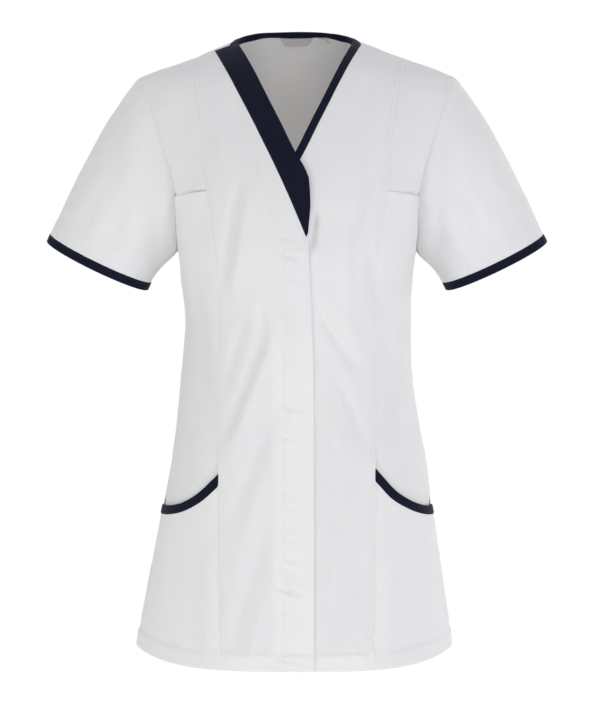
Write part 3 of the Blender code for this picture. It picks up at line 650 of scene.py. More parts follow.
@dataclass(frozen=True)
class ClothFinish:
    """A woven cloth: its colour with a slight mottle, its threads, and the soft sheen of its fibres."""

    name: str
    slot: str
    colour: Triple
    mottle: Triple
    roughness: float
    sheen: float
    thread_pitch: float
    thread_depth: float
    slub_depth: float
    specular: float = 0.3
    backed: Triple | None = None
    sheen_roughness: float = 0.5
    uneven_roughness: float = 0.06
    slub_share: float = 0.35
    slub_stretch: Triple = (900, 130, 1)
    slub_detail: float = 2.0
    patch_scale: float = 9.0
    patch_detail: float = 3.0

    def material(self) -> bpy.types.Material:
        """Build the material, or find it where it is already built.

        Returns:
            The material.
        """
        found = bpy.data.materials.get(self.name)
        if found is not None:
            return found
        made = bpy.data.materials.new(self.name)
        made.use_nodes = True
        made.diffuse_color = (*self.colour, 1)
        tree = made.node_tree
        cut = add_node(tree, "ShaderNodeUVMap", uv_map="cut").outputs["UV"]
        stretched = {"Scale": self.slub_stretch}
        run = add_node(tree, "ShaderNodeMapping", stretched, {"Vector": cut}).outputs["Vector"]
        slubs = self._noise(tree, run, 1.0, self.slub_detail)
        place = add_node(tree, "ShaderNodeTexCoord").outputs["Object"]
        patches = self._noise(tree, place, self.patch_scale, self.patch_detail)
        mixed = self._math(tree, "MULTIPLY", {1: 1 - self.slub_share}, {0: patches})
        mixed = self._math(tree, "MULTIPLY_ADD", {1: self.slub_share}, {0: slubs, 2: mixed})
        colour = self._mix(tree, {6: (*self.colour, 1), 7: (*self.mottle, 1)}, {0: mixed})
        if self.backed is not None:
            # Less light passes through the cloth where a second layer backs it, so it is whiter there.
            layers = add_node(tree, "ShaderNodeAttribute", attribute_name="backed").outputs["Fac"]
            colour = self._mix(tree, {7: (*self.backed, 1)}, {0: layers, 6: colour})

        spread = {"To Min": self.roughness - self.uneven_roughness}
        spread["To Max"] = self.roughness + self.uneven_roughness
        rough = add_node(tree, "ShaderNodeMapRange", spread, {"Value": slubs}).outputs["Result"]
        threads = {number: self._threads(tree, cut, way) for number, way in enumerate("XY")}
        weave = self._math(tree, "MULTIPLY", {}, threads)
        depth = {"Strength": 1.0, "Distance": self.thread_depth}
        fine = add_node(tree, "ShaderNodeBump", depth, {"Height": weave}).outputs["Normal"]
        depth = {"Strength": 1.0, "Distance": self.slub_depth}
        relief = add_node(tree, "ShaderNodeBump", depth, {"Height": slubs, "Normal": fine})

        shader = tree.nodes["Principled BSDF"]
        shader.inputs["Specular IOR Level"].default_value = self.specular
        shader.inputs["Sheen Weight"].default_value = self.sheen
        shader.inputs["Sheen Roughness"].default_value = self.sheen_roughness
        tree.links.new(colour, shader.inputs["Base Color"])
        tree.links.new(rough, shader.inputs["Roughness"])
        tree.links.new(relief.outputs["Normal"], shader.inputs["Normal"])
        return made

    def _threads(self, tree: bpy.types.NodeTree, cut: bpy.types.NodeSocket, way: str) -> bpy.types.NodeSocket:
        """Add the threads that run one way, at their real pitch.

        Args:
            tree: the material's nodes.
            cut: each point's place on the flat cloth.
            way: X or Y, across the threads.

        Returns:
            The height of the threads.
        """
        bands_to_a_turn = 20
        scale = 2 * math.pi / (self.thread_pitch * bands_to_a_turn)
        values = {"Scale": scale, "Distortion": 0.6, "Detail": 1.0}
        wave = add_node(tree, "ShaderNodeTexWave", values, {"Vector": cut}, bands_direction=way)
        return wave.outputs["Fac"]

    @staticmethod
    def _noise(
        tree: bpy.types.NodeTree, vector: bpy.types.NodeSocket, scale: float, detail: float
    ) -> bpy.types.NodeSocket:
        """Add a noise texture, read at a vector."""
        values = {"Scale": scale, "Detail": detail}
        return add_node(tree, "ShaderNodeTexNoise", values, {"Vector": vector}).outputs["Fac"]

    @staticmethod
    def _math(tree: bpy.types.NodeTree, operation: str, values: dict, links: dict) -> bpy.types.NodeSocket:
        """Add a step of arithmetic."""
        return add_node(tree, "ShaderNodeMath", values, links, operation=operation).outputs[0]

    @staticmethod
    def _mix(tree: bpy.types.NodeTree, values: dict, links: dict) -> bpy.types.NodeSocket:
        """Add a mix of two colours: socket 0 is the share of the second, 6 and 7 are the colours."""
        return add_node(tree, "ShaderNodeMix", values, links, data_type="RGBA").outputs[2]


@dataclass(frozen=True)
class Finishes:
    """The cloths and threads of the tunic."""

    white: ClothFinish = ClothFinish(
        name="white_poly_cotton", slot="white_cloth",
        colour=(0.797, 0.797, 0.802), mottle=(0.725, 0.725, 0.738), backed=(0.808, 0.808, 0.811),
        roughness=0.8, sheen=0.12,
        thread_pitch=0.00042, thread_depth=0.00005, slub_depth=0.00012,
    )
    navy: ClothFinish = ClothFinish(
        name="navy_binding", slot="navy_trim",
        colour=(0.0026, 0.0040, 0.0165), mottle=(0.0050, 0.0066, 0.0200),
        roughness=0.8, sheen=0.02, specular=0.14,
        thread_pitch=0.0005, thread_depth=0.00006, slub_depth=0.00010,
    )
    label: ClothFinish = ClothFinish(
        name="grey_label_weave", slot="label_cloth",
        colour=(0.56, 0.555, 0.55), mottle=(0.50, 0.495, 0.49),
        roughness=0.6, sheen=0.1,
        thread_pitch=0.0003, thread_depth=0.00003, slub_depth=0.00004,
    )
    tab: ClothFinish = ClothFinish(
        name="white_tab_weave", slot="tab_cloth",
        colour=(0.70, 0.70, 0.69), mottle=(0.63, 0.63, 0.62),
        roughness=0.6, sheen=0.1,
        thread_pitch=0.0003, thread_depth=0.00003, slub_depth=0.00004,
    )
    white_thread: ClothFinish = ClothFinish(
        name="white_thread", slot="white_cloth",
        colour=(0.78, 0.78, 0.78), mottle=(0.70, 0.70, 0.70),
        roughness=0.55, sheen=0.15,
        thread_pitch=0.0004, thread_depth=0.00002, slub_depth=0.00002,
    )
    navy_thread: ClothFinish = ClothFinish(
        name="navy_thread", slot="navy_trim",
        colour=(0.014, 0.018, 0.042), mottle=(0.010, 0.013, 0.034),
        roughness=0.5, sheen=0.05,
        thread_pitch=0.0004, thread_depth=0.00002, slub_depth=0.00002,
    )


def write_mesh(
    name: str, points: Grid, faces: Grid, cut: Grid | None, finish: ClothFinish, layers: Grid | float = 0.0
) -> bpy.types.Object:
    """Write a mesh as a piece that rides on the tunic.

    Args:
        name: the piece's name.
        points: its points.
        faces: four points for each face.
        cut: a place on the flat cloth for each point, in metres, or None.
        finish: its cloth or thread.
        layers: 1 where a second layer backs the cloth and lets less light through, 0 elsewhere.

    Returns:
        The new object.
    """
    mesh = bpy.data.meshes.new(name)
    mesh.vertices.add(len(points))
    mesh.vertices.foreach_set("co", points.astype(np.float32).ravel())
    mesh.loops.add(faces.size)
    mesh.loops.foreach_set("vertex_index", faces.astype(np.int32).ravel())
    mesh.polygons.add(len(faces))
    mesh.polygons.foreach_set("loop_start", np.arange(0, faces.size, 4, dtype=np.int32))
    mesh.update(calc_edges=True)
    layer = mesh.uv_layers.new(name="cut")
    flat = points[:, [0, 2]] if cut is None else cut
    layer.data.foreach_set("uv", flat[faces.ravel()].astype(np.float32).ravel())
    backed = mesh.attributes.new("backed", "FLOAT", "POINT")
    backed.data.foreach_set("value", (layers + np.zeros(len(points))).astype(np.float32))
    mesh.validate()
    mesh.shade_smooth()
    mesh.materials.append(finish.material())
    piece = bpy.data.objects.new(name, mesh)
    bpy.context.scene.collection.objects.link(piece)
    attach(piece, ROOT)
    return piece


@dataclass
class ClothShell:
    """A thin shell of cloth between an outer and an inner grid of points, with a rounded rim."""

    name: str
    outer: Grid
    inner: Grid
    finish: ClothFinish
    closed: bool = False
    layers: Grid | float = 0.0

    def build(self) -> bpy.types.Object:
        """Build the shell.

        Returns:
            The new object.
        """
        rows, columns = self.outer.shape[:2]
        count = rows * columns
        index = np.arange(count).reshape(rows, columns)
        if self.closed:
            index = np.concatenate([index, index[:, :1]], axis=1)
        corners = [index[:-1, :-1], index[:-1, 1:], index[1:, 1:], index[1:, :-1]]
        skin = np.stack(corners, axis=-1).reshape(-1, 4)
        outer, inner = self.outer.reshape(-1, 3), self.inner.reshape(-1, 3)
        first, second = outer[skin[:, 2]] - outer[skin[:, 0]], outer[skin[:, 3]] - outer[skin[:, 1]]
        face = np.cross(first, second)
        if np.sum(face * (outer[skin[:, 0]] - inner[skin[:, 0]])) < 0:
            skin = skin[:, ::-1]
        points, faces = [outer, inner], [skin, skin[:, ::-1] + count]
        total = 2 * count
        rim_turns = (math.pi / 4, math.pi / 2, 3 * math.pi / 4)
        for loop, behind in self._rims(index):
            middle, up = (outer[loop] + inner[loop]) / 2, (outer[loop] - inner[loop]) / 2
            half = np.linalg.norm(up, axis=-1, keepdims=True)
            onward = unit(outer[loop] - outer[behind]) * half
            rings = [loop]
            for turn in rim_turns:
                points.append(middle + up * math.cos(turn) + onward * math.sin(turn))
                rings.append(total + np.arange(len(loop)))
                total += len(loop)
            rings.append(loop + count)
            turned = self._same_way(skin, loop)
            for near, far in zip(rings[:-1], rings[1:]):
                strip = np.stack([near, np.roll(near, -1), np.roll(far, -1), far], axis=-1)
                faces.append(strip[:, ::-1] if turned else strip)
        cut_u, cut_v = run_along(self.outer, 1).ravel(), run_along(self.outer, 0).ravel()
        cut = np.stack([cut_u, cut_v], axis=-1)
        loops = [loop for loop, _ in self._rims(index) for _ in rim_turns]
        all_cut = np.concatenate([cut, cut, *(cut[loop] for loop in loops)])
        backed = (self.layers + np.zeros((rows, columns))).ravel()
        backed = np.concatenate([backed, backed, *(backed[loop] for loop in loops)])
        all_points, all_faces = np.concatenate(points), np.concatenate(faces)
        return write_mesh(self.name, all_points, all_faces, all_cut, self.finish, backed)

    def _rims(self, index: Grid) -> list[tuple[Grid, Grid]]:
        """Find each border of the grid as a closed loop.

        Args:
            index: each point's number, by row and column.

        Returns:
            Each border's points, and the points one step further in.
        """
        if self.closed:
            return [(index[0, :-1], index[1, :-1]), (index[-1, :-1], index[-2, :-1])]
        loop = np.concatenate([index[0, :-1], index[:-1, -1], index[-1, :0:-1], index[:0:-1, 0]])
        behind = np.concatenate([index[1, :-1], index[:-1, -2], index[-2, :0:-1], index[:0:-1, 1]])
        return [(loop, behind)]

    @staticmethod
    def _same_way(skin: Grid, loop: Grid) -> bool:
        """Tell whether the border runs the same way round as the skin's faces do."""
        after = np.roll(skin, -1, axis=1)
        return bool(np.any((skin == loop[0]) & (after == loop[1])))


def finish_sheet(
    piece: bpy.types.Object, node: str
) -> bpy.types.Object:
    """Put a cloth piece in place of its plain solid, by hiding the solid.

    Args:
        piece: the piece.
        node: the solid that it replaces.

    Returns:
        The piece.
    """
    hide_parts(node)
    return piece


@dataclass
class Thread:
    """Stitches of one colour, gathered from all the lines where it is sewn, and made as one mesh."""

    name: str
    finish: ClothFinish
    pitch: float = 3.0 * MM
    length: float = 2.3 * MM
    radius: float = 0.17 * MM
    stitches: list[Grid] = field(default_factory=list)

    def sew(self, points: Grid, normals: Grid) -> None:
        """Add a line of stitches.

        Args:
            points: the line, on the cloth's surface.
            normals: the surface's normals there.
        """
        run = run_along(points[:, None], 0)[:, 0]
        if run[-1] < 2 * self.pitch:
            return
        starts = np.arange(self.pitch / 2, run[-1] - self.length, self.pitch)
        sunk, proud, near = -0.10 * MM, 0.10 * MM, 0.3 * MM
        # Each row: share of the stitch's length, height, share of its radius.
        shape = ((0.0, sunk, 0.5), (0.2, proud, 1.0), (0.8, proud, 1.0), (1.0, sunk, 0.5))
        rings = []
        for share, height, girth in shape:
            place = starts + share * self.length
            centre, up = read_line(place, run, points), unit(read_line(place, run, normals))
            ahead = unit(read_line(place + near, run, points) - read_line(place - near, run, points))
            side = unit(np.cross(ahead, up))
            ring = [
                centre + up * height + (side * math.cos(turn) + up * math.sin(turn)) * self.radius * girth
                for turn in (0, math.pi / 2, math.pi, 3 * math.pi / 2)
            ]
            rings.append(np.stack(ring, axis=1))
        self.stitches.append(np.stack(rings, axis=1))

    def build(self) -> bpy.types.Object:
        """Join the stitches in one mesh.

        Returns:
            The new object.
        """
        stitches = np.concatenate(self.stitches)
        count = len(stitches)
        base = (np.arange(count) * 16)[:, None, None]
        sides = [
            [j * 4 + i, j * 4 + (i + 1) % 4, (j + 1) * 4 + (i + 1) % 4, (j + 1) * 4 + i]
            for j in range(3)
            for i in range(4)
        ]
        caps = [[3, 2, 1, 0], [12, 13, 14, 15]]
        faces = (base + np.array(sides + caps)[None]).reshape(-1, 4)
        return write_mesh(self.name, stitches.reshape(-1, 3), faces, None, self.finish)


@dataclass(frozen=True)
class SeamWork:
    """How seams, hems and their puckers shape the cloth beside them."""

    sunk_depth: float = 0.32 * MM
    sunk_width: float = 1.4 * MM
    raised_height: float = 0.35 * MM
    raised_width: float = 7.5 * MM
    raised_step: float = 2.5 * MM
    stitch_in: float = 5.5 * MM
    stitch_depth: float = 0.4 * MM
    stitch_width: float = 1.0 * MM
    pucker_depth: float = 0.42 * MM
    pucker_reach: float = 9 * MM
    ripple_count: int = 6
    ripple_pitch: Pair = (8 * MM, 26 * MM)
    ripple_slant: float = 6 * MM
    ripple_sum: float = 2.6
    swell: float = 0.45
    swell_pitch: float = 97 * MM

    def edge_lift(self, edge: Edge, distance: Grid, along: Grid, seed: int) -> Grid:
        """Return how far the cloth is lifted near an edge.

        Args:
            edge: how the cloth ends there.
            distance: each point's distance from the edge.
            along: its distance along the edge.
            seed: sets where the puckers fall.

        Returns:
            The lift at each point, in metres.
        """
        lift = -self.sunk_depth * np.exp(-((distance / self.sunk_width) ** 2))
        if edge is Edge.RAISED:
            lift = lift + self.raised_height * ease((self.raised_width - distance) / self.raised_step)
            lift = lift - self.groove(distance - self.stitch_in)
        return lift + self.puckers(distance, along, seed)

    def groove(self, distance: Grid) -> Grid:
        """Return the depth of a stitched groove."""
        return self.stitch_depth * np.exp(-((distance / self.stitch_width) ** 2))

    def puckers(self, distance: Grid, along: Grid, seed: int, strength: float = 1.0) -> Grid:
        """Draw up the small ripples across a line of sewing.

        Args:
            distance: each point's distance from the line.
            along: its distance along the line.
            seed: sets where the ripples fall.
            strength: their strength, against the usual.

        Returns:
            The lift at each point, in metres.
        """
        dice = np.random.default_rng(seed)
        ripple = np.zeros_like(along)
        whole_turn = 6.28
        for pitch in dice.uniform(*self.ripple_pitch, self.ripple_count):
            start = dice.uniform(0, whole_turn)
            ripple += np.sin(2 * np.pi * along / pitch + start + distance / self.ripple_slant)
        beat = np.sin(2 * np.pi * along / self.swell_pitch + dice.uniform(0, whole_turn))
        swell = 1 - self.swell + self.swell * beat
        fading = np.exp(-np.abs(distance) / self.pucker_reach)
        return self.pucker_depth * strength * ripple / self.ripple_sum * swell * fading


@dataclass
class Border:
    """A sewn side of a panel (left, right, foot or top), how it is sewn, and its share at each point."""

    side: str
    edge: Edge
    share: Grid | float = 1.0

    def along(self) -> Grid:
        """Return the share so that it spreads over a grid of rows and columns."""
        share = np.atleast_1d(np.asarray(self.share, float))
        return share[:, None] if self.side in ("left", "right") else share[None, :]


@dataclass
class Panel:
    """One cut piece of cloth laid on the torso."""

    node: str
    points: Grid
    normals: Grid
    borders: list[Border]
    seed: int
    work: SeamWork = field(default_factory=SeamWork)
    thickness: Grid | float = 0.7 * MM
    extra: Grid | float = 0.0
    backed: Grid | None = None
    single: float = 0.7 * MM
    second_layer: float = 0.8 * MM

    def distances(self) -> dict[str, tuple[Grid, Grid]]:
        """Return each point's distance from the four sides, and along them."""
        across, up = run_along(self.points, 1), run_along(self.points, 0)
        return {
            "left": (across, up),
            "right": (across[:, -1:] - across, up),
            "foot": (up, across),
            "top": (up[-1:] - up, across),
        }

    def outer(self) -> Grid:
        """Lay out the outer face, with its seams, puckers and whatever extra lift it was given.

        Returns:
            Rows and columns of points.
        """
        lift = FACE_OUT + self.extra + np.zeros(self.points.shape[:2])
        sides = self.distances()
        for number, border in enumerate(self.borders):
            distance, along = sides[border.side]
            sewn = self.work.edge_lift(border.edge, distance, along, self.seed + number)
            lift = lift + sewn * border.along()
        return self.points + self.normals * lift[..., None]

    def build(self, finish: ClothFinish) -> bpy.types.Object:
        """Build the panel in place of its plain solid.

        Args:
            finish: its cloth.

        Returns:
            The new object.
        """
        outer = self.outer()
        thickness = self.thickness + np.zeros(outer.shape[:2])
        inner = outer - self.normals * thickness[..., None]
        layers = self.backed
        if layers is None:
            layers = ease((thickness - self.single) / self.second_layer)
        piece = ClothShell(f"{self.node}_cloth", outer, inner, finish, layers=layers).build()
        return finish_sheet(piece, self.node)

    def line(self, side: str, distance: Grid | float) -> tuple[Grid, Grid]:
        """Follow a side at a distance from it.

        Args:
            side: left, right, foot or top.
            distance: the distance from it, one for all or one for each point.

        Returns:
            The line's points on the outer face, and the normals there.
        """
        outer = self.outer()
        run, _ = self.distances()[side]
        if side in ("foot", "top"):
            run, outer, normals = run.T, outer.transpose(1, 0, 2), self.normals.transpose(1, 0, 2)
        else:
            normals = self.normals
        order = slice(None, None, -1) if side in ("right", "top") else slice(None)
        points, ups = [], []
        for d, r, p, n in zip(distance + np.zeros(len(run)), run, outer, normals):
            points.append(read_line(d, r[order], p[order]))
            ups.append(read_line(d, r[order], n[order]))
        return np.array(points), unit(np.array(ups))


@dataclass
class Binding:
    """A strip folded over an edge: an outer leg, the fold, and an inner leg."""

    node: str
    points: Grid
    normals: Grid
    inner_columns: int
    cover: float = 0.62 * MM
    cloth: float = 0.75 * MM
    closed: bool = False
    fold_steps: int = 5
    hang: Grid | float = 0.0
    pressed_edge: float = 0.55

    def faces(self) -> tuple[Grid, Grid]:
        """Lay out the strip's outer and inner faces.

        Returns:
            Both faces, whose columns run from the outer leg's edge over the fold.
        """
        onward = unit(self.points[:, -1] - self.points[:, -2])
        hang = (self.hang + np.zeros(len(self.points)))[:, None]
        found = []
        for reach in (self.cover + self.cloth, self.cover):
            columns = [self.points[:, k] + self.normals[:, k] * reach for k in range(self.points.shape[1])]
            edge, up = self.points[:, -1], self.normals[:, -1]
            for turn in np.linspace(0, np.pi, self.fold_steps + 2)[1:-1]:
                columns.append(edge + (up * math.cos(turn) + onward * math.sin(turn)) * reach)
            for k in range(1, self.inner_columns + 1):
                along_cloth = self.points[:, -k] - self.normals[:, -k] * reach
                run = np.linalg.norm(self.points[:, -k] - edge, axis=1, keepdims=True)
                straight_down = edge - up * reach - run * np.array([0, 0, 1])
                columns.append((1 - hang) * along_cloth + hang * straight_down)
            found.append(np.stack(columns, axis=1))
        outer, inner = found
        outer[:, 0] -= self.normals[:, 0] * self.cloth * self.pressed_edge
        if self.inner_columns > 1:
            outer[:, -1] += self.normals[:, -self.inner_columns] * self.cloth * self.pressed_edge
        return outer, inner

    def build(self, finish: ClothFinish) -> bpy.types.Object:
        """Build the binding in place of its plain solid.

        Args:
            finish: its cloth.

        Returns:
            The new object.
        """
        outer, inner = self.faces()
        if self.closed:
            outer, inner = outer.transpose(1, 0, 2), inner.transpose(1, 0, 2)
        piece = ClothShell(f"{self.node}_cloth", outer, inner, finish, self.closed).build()
        return finish_sheet(piece, self.node)


@dataclass
class Sewing:
    """The white and the navy thread."""

    finishes: Finishes
    white: Thread = field(init=False)
    navy: Thread = field(init=False)

    def __post_init__(self) -> None:
        """Thread both needles."""
        self.white = Thread("white_stitching", self.finishes.white_thread)
        self.navy = Thread("navy_stitching", self.finishes.navy_thread)

    def build(self) -> None:
        """Build all stitches, one mesh for each thread."""
        for thread in (self.white, self.navy):
            piece = thread.build()
            LOG.info("%s: %d stitches", piece.name, sum(len(group) for group in thread.stitches))


@dataclass
class BodyCloth:
    """What every cut piece of the body shares: the form, the hem and the finishes."""

    finishes: Finishes
    sewing: Sewing
    drape: Drape = field(default_factory=Drape)
    work: SeamWork = field(default_factory=SeamWork)
    hem_width: float = 19 * MM
    hem_stitch: float = 17.0 * MM
    hem_raise: float = 0.8 * MM
    hem_step: float = 1.2 * MM
    hem_puckers: float = 1.6
    hem_sag: float = 0.9 * MM
    sag_above: float = 3.5 * MM
    sag_width: float = 4 * MM
    sag_in_front: float = 0.35
    sag_grows: Pair = (95 * MM, 50 * MM)
    shoulder_sunk: float = 0.4
    shoulder_raised: float = 0.65
    single: float = 0.7 * MM
    doubled: float = 1.7 * MM
    underarm: float = -245 * MM
    armhole_step: float = 6 * MM
    stitch_clear: float = 4 * MM
    leg_columns: int = 6

    @property
    def pattern(self) -> Pattern:
        """The cut lines."""
        return self.drape.pattern

    @property
    def at_shoulder(self) -> Border:
        """The shoulder seam of a front piece."""
        return Border("top", Edge.SUNK, self.shoulder_sunk)

    def hem(self, points: Grid, seed: int) -> tuple[Grid, Grid]:
        """Turn the cloth up at the foot, and let it sag into a soft trough above the stitching at the sides.

        Args:
            points: the panel's points.
            seed: sets where the puckers fall.

        Returns:
            The lift and the thickness at each point.
        """
        up, along = run_along(points, 0), run_along(points, 1)
        turned = self.turned_up(up)
        lift = self.hem_raise * turned - self.work.groove(up - self.hem_stitch)
        lift = lift + self.work.puckers(up - self.hem_stitch, along, seed, self.hem_puckers)
        start, run = self.sag_grows
        at_side = ease((np.abs(points[..., 0]) - start) / run)
        at_side = self.sag_in_front + (1 - self.sag_in_front) * at_side
        above = (up - self.hem_width - self.sag_above) / self.sag_width
        lift = lift - self.hem_sag * at_side * np.exp(-(above**2))
        return lift, self.single + (self.doubled - self.single) * turned

    def turned_up(self, up: Grid) -> Grid:
        """Return 1 where the hem is turned up, and 0 above it."""
        return ease((self.hem_width - up) / self.hem_step)

    def above_arm(self, level: Grid) -> Grid:
        """Return 1 where a side is the armhole, above the underarm, and 0 at the side seam."""
        return ease((level - self.underarm) / self.armhole_step)

    def sew_hem(self, panel: Panel) -> None:
        """Stitch the hem of a panel."""
        self.sewing.white.sew(*panel.line("foot", self.hem_stitch))


@dataclass
class Fronts(BodyCloth):
    """The two fronts, the right one overlapping, and the fly that hides the fastening."""

    columns: int = 38
    left_columns: int = 44
    neck_ends: float = -168.5 * MM
    underlap_edge: float = -15 * MM
    underlap_neck_end: float = -163 * MM
    underlap_depth: float = 3.1 * MM
    underlap_low: float = 1.5 * MM
    underlap_closes: Pair = (-236 * MM, -266 * MM)
    point_dent: Fold = Fold(22, -208, 18, -250, 5.2, -4.4, 0.2)
    underlap_flat_to: float = 24 * MM
    underlap_ramp_to: float = 58 * MM
    fly_stitch: float = -14 * MM
    facing_edge: float = -27 * MM
    fly_top: float = -238 * MM
    fly_raise: float = 0.35 * MM
    fly_begins: float = 5 * MM
    fly_step: float = 3 * MM
    fly_puckers_in: float = 6 * MM
    fly_puckers: Pair = (2.4, 3.4)
    fly_puckers_grow: Pair = (-0.50, 0.08)
    facing_raise: float = 0.3 * MM
    facing_step: float = 2 * MM
    facing_shows: Pair = (-0.32, 0.10)
    facing_fade: float = 5 * MM
    box: Triple = (-17.0 * MM, 9.0 * MM, 12.5 * MM)
    box_pressed: float = 1.5
    princess_low: float = 0.25
    princess_fades: Pair = (-0.40, 0.16)
    band_stitch: float = 1.6 * MM
    binding_width: float = 9 * MM
    band_columns: int = 12
    right_panel: Panel = field(init=False)
    left_panel: Panel = field(init=False)

    def __post_init__(self) -> None:
        """Lay out both fronts."""
        self.right_panel, self.left_panel = self.lay_right(), self.lay_left()

    def lay_right(self) -> Panel:
        """Lay the right front, from its front edge to the princess seam.

        Returns:
            The panel, not yet built.
        """
        pattern = self.pattern
        seam = pattern.line("princess", "princess", Hand.RIGHT)
        domain = pattern.between(self.right_edge(), seam, self.columns)
        points, normals = self.drape.surface(domain)
        x, z = points[..., 0], points[..., 2]
        below = ease((self.fly_top - z) / self.fly_begins)
        along = run_along(points, 0)
        fly = self.fly_raise * ease((x - self.fly_stitch) / self.fly_step)
        fly = fly + self.facing_raise * ease((x - self.facing_edge) / self.facing_step)
        fly = fly - self.work.groove(x - self.fly_stitch)
        (plain, more), (start, run) = self.fly_puckers, self.fly_puckers_grow
        drawn = plain + more * ease((start - z) / run)
        fly = fly + self.work.puckers(x - self.fly_stitch - self.fly_puckers_in, along, 71) * drawn
        left, right, height = self.box
        boxed = ease((x - left) / MM) * ease((right - x) / MM)
        pressed = self.work.groove(z - self.fly_top) + self.work.groove(z - self.fly_top + height)
        down_side = ease((self.fly_top + MM - z) / MM) * ease((z - self.fly_top + height + MM) / MM)
        pressed = pressed * boxed + (self.work.groove(x - left) + self.work.groove(x - right)) * down_side
        hem_lift, thickness = self.hem(points, 31)
        hem_lift = hem_lift - self.box_pressed * pressed
        at_fly = ease((x - self.fly_stitch + 2 * MM) / self.fly_step) * below
        thickness = np.maximum(thickness, self.single + (self.doubled - self.single) * at_fly)
        borders = [Border("right", Edge.RAISED, self.princess_share(z[:, -1])), self.at_shoulder]
        lift = hem_lift + fly * below
        start, run = self.facing_shows
        facing = ease((x - self.facing_edge + self.facing_fade) / (2 * self.facing_fade))
        backed = np.maximum(facing * ease((start - z) / run), self.turned_up(along))
        return Panel(
            "front_right", points, normals, borders, 101, self.work, thickness, lift, backed
        )

    def right_edge(self) -> Grid:
        """Follow the right front's edge, down the neck and then the front.

        Returns:
            Pairs of angle and level at the fine rows.
        """
        pattern = self.pattern
        level = pattern.fine_levels("right_edge")
        neck, front = pattern.x_of("neck_right", level), pattern.x_of("front_edge", level)
        return pattern.pairs(np.where(level < self.neck_ends, front, neck), level)

    def lay_left(self) -> Panel:
        """Lay the left front, from the edge that the overlap hides to the princess seam.

        Returns:
            The panel, not yet built.
        """
        pattern = self.pattern
        level = pattern.fine_levels("left_edge")
        x = np.where(level < self.underlap_neck_end, self.underlap_edge, pattern.x_of("neck_left", level))
        seam = pattern.line("princess", "princess")
        domain = pattern.between(pattern.pairs(x, level), seam, self.left_columns)
        points, normals = self.drape.surface(domain)
        bare = pattern.form.point(domain[..., 0], domain[..., 1])[..., 0]
        ramp = (self.underlap_ramp_to - bare) / (self.underlap_ramp_to - self.underlap_flat_to)
        start, end = self.underlap_closes
        closing = ease((start - points[..., 2]) / (start - end))
        depth = self.underlap_depth + (self.underlap_low - self.underlap_depth) * closing
        dent = self.point_dent.lift(points[..., 0], points[..., 2])
        points = points - normals * (depth * ease(ramp) - dent)[..., None]
        hem_lift, thickness = self.hem(points, 37)
        borders = [Border("right", Edge.RAISED, self.princess_share(points[:, -1, 2])), self.at_shoulder]
        return Panel("front_left", points, normals, borders, 113, self.work, thickness, hem_lift)

    def princess_share(self, z: Grid) -> Grid:
        """Return how plainly the princess seam stands out: less from the waist down."""
        start, run = self.princess_fades
        return self.princess_low + (1 - self.princess_low) * ease((z - start) / run)

    def neck_strip(self) -> tuple[Grid, Grid]:
        """Return the middle of the left front's cloth beside its neck edge, and the normals.

        Returns:
            Rows from the shoulder down to where the overlap hides the edge, columns from the leg out.
        """
        level = self.pattern.fine_levels("left_edge")
        start = int(np.argmin(np.abs(level - self.underlap_neck_end)))
        widths = np.linspace(self.binding_width, 0, self.leg_columns)
        lines = [self.left_panel.line("left", width) for width in widths]
        points = np.stack([line for line, _ in lines], axis=1)[start:][::-1]
        normals = np.stack([up for _, up in lines], axis=1)[start:][::-1]
        return points - normals * FACE_OUT, normals

    def band(self) -> Binding:
        """Lay the wide navy band on the right front, from the shoulder to its point at the fly's top.

        Returns:
            The band, not yet built.
        """
        pattern = self.pattern
        foot = pattern.row_at(pattern.low_count)
        domain = pattern.between(pattern.line("band", "band"), self.right_edge(), self.band_columns)
        points, normals = self.drape.surface(domain[foot:])
        return Binding("neck_band_right", points, normals, 2)

    def build(self) -> None:
        """Build both fronts and the band, and sew them."""
        for panel in (self.right_panel, self.left_panel):
            panel.build(self.finishes.white)
            self.sew_hem(panel)
            self.sewing.white.sew(*panel.line("right", self.work.stitch_in))
        band = self.band()
        band.build(self.finishes.navy)
        self.sew_band(band)
        self.sew_fly()

    def sew_band(self, band: Binding) -> None:
        """Stitch the band's outer edge down.

        Args:
            band: the band.
        """
        outer, _ = band.faces()
        run = run_along(outer[:, : self.band_columns], 1)
        wide_enough = 5 * MM
        keep = run[:, -1] > wide_enough
        points, normals = [], []
        for r, p, n in zip(run[keep], outer[keep], band.normals[keep]):
            points.append(read_line(self.band_stitch, r, p[: self.band_columns]))
            normals.append(n[0])
        self.sewing.navy.sew(np.array(points), np.array(normals))

    def sew_fly(self) -> None:
        """Stitch the fly's long line and the box at its top."""
        panel = self.right_panel
        outer = panel.outer()
        rows = outer[:, 0, 2] < self.fly_top
        line, ups = [], []
        for p, n in zip(outer[rows], panel.normals[rows]):
            order = np.argsort(p[:, 0])
            line.append(read_line(self.fly_stitch, p[order, 0], p[order]))
            ups.append(read_line(self.fly_stitch, p[order, 0], n[order]))
        self.sewing.white.sew(np.array(line), np.array(ups))
        left, right, height = self.box
        top, foot = self.fly_top, self.fly_top - height
        # Round the box and then across it.
        turns = [(left, top), (right, top), (right, foot), (left, foot), (left, top), (right, foot)]
        corners = np.array(turns)
        for start, end in zip(corners[:-1], corners[1:]):
            t = np.linspace(0, 1, 16)[:, None]
            self.sewing.white.sew(*self.on_cloth(panel, (1 - t) * start + t * end))

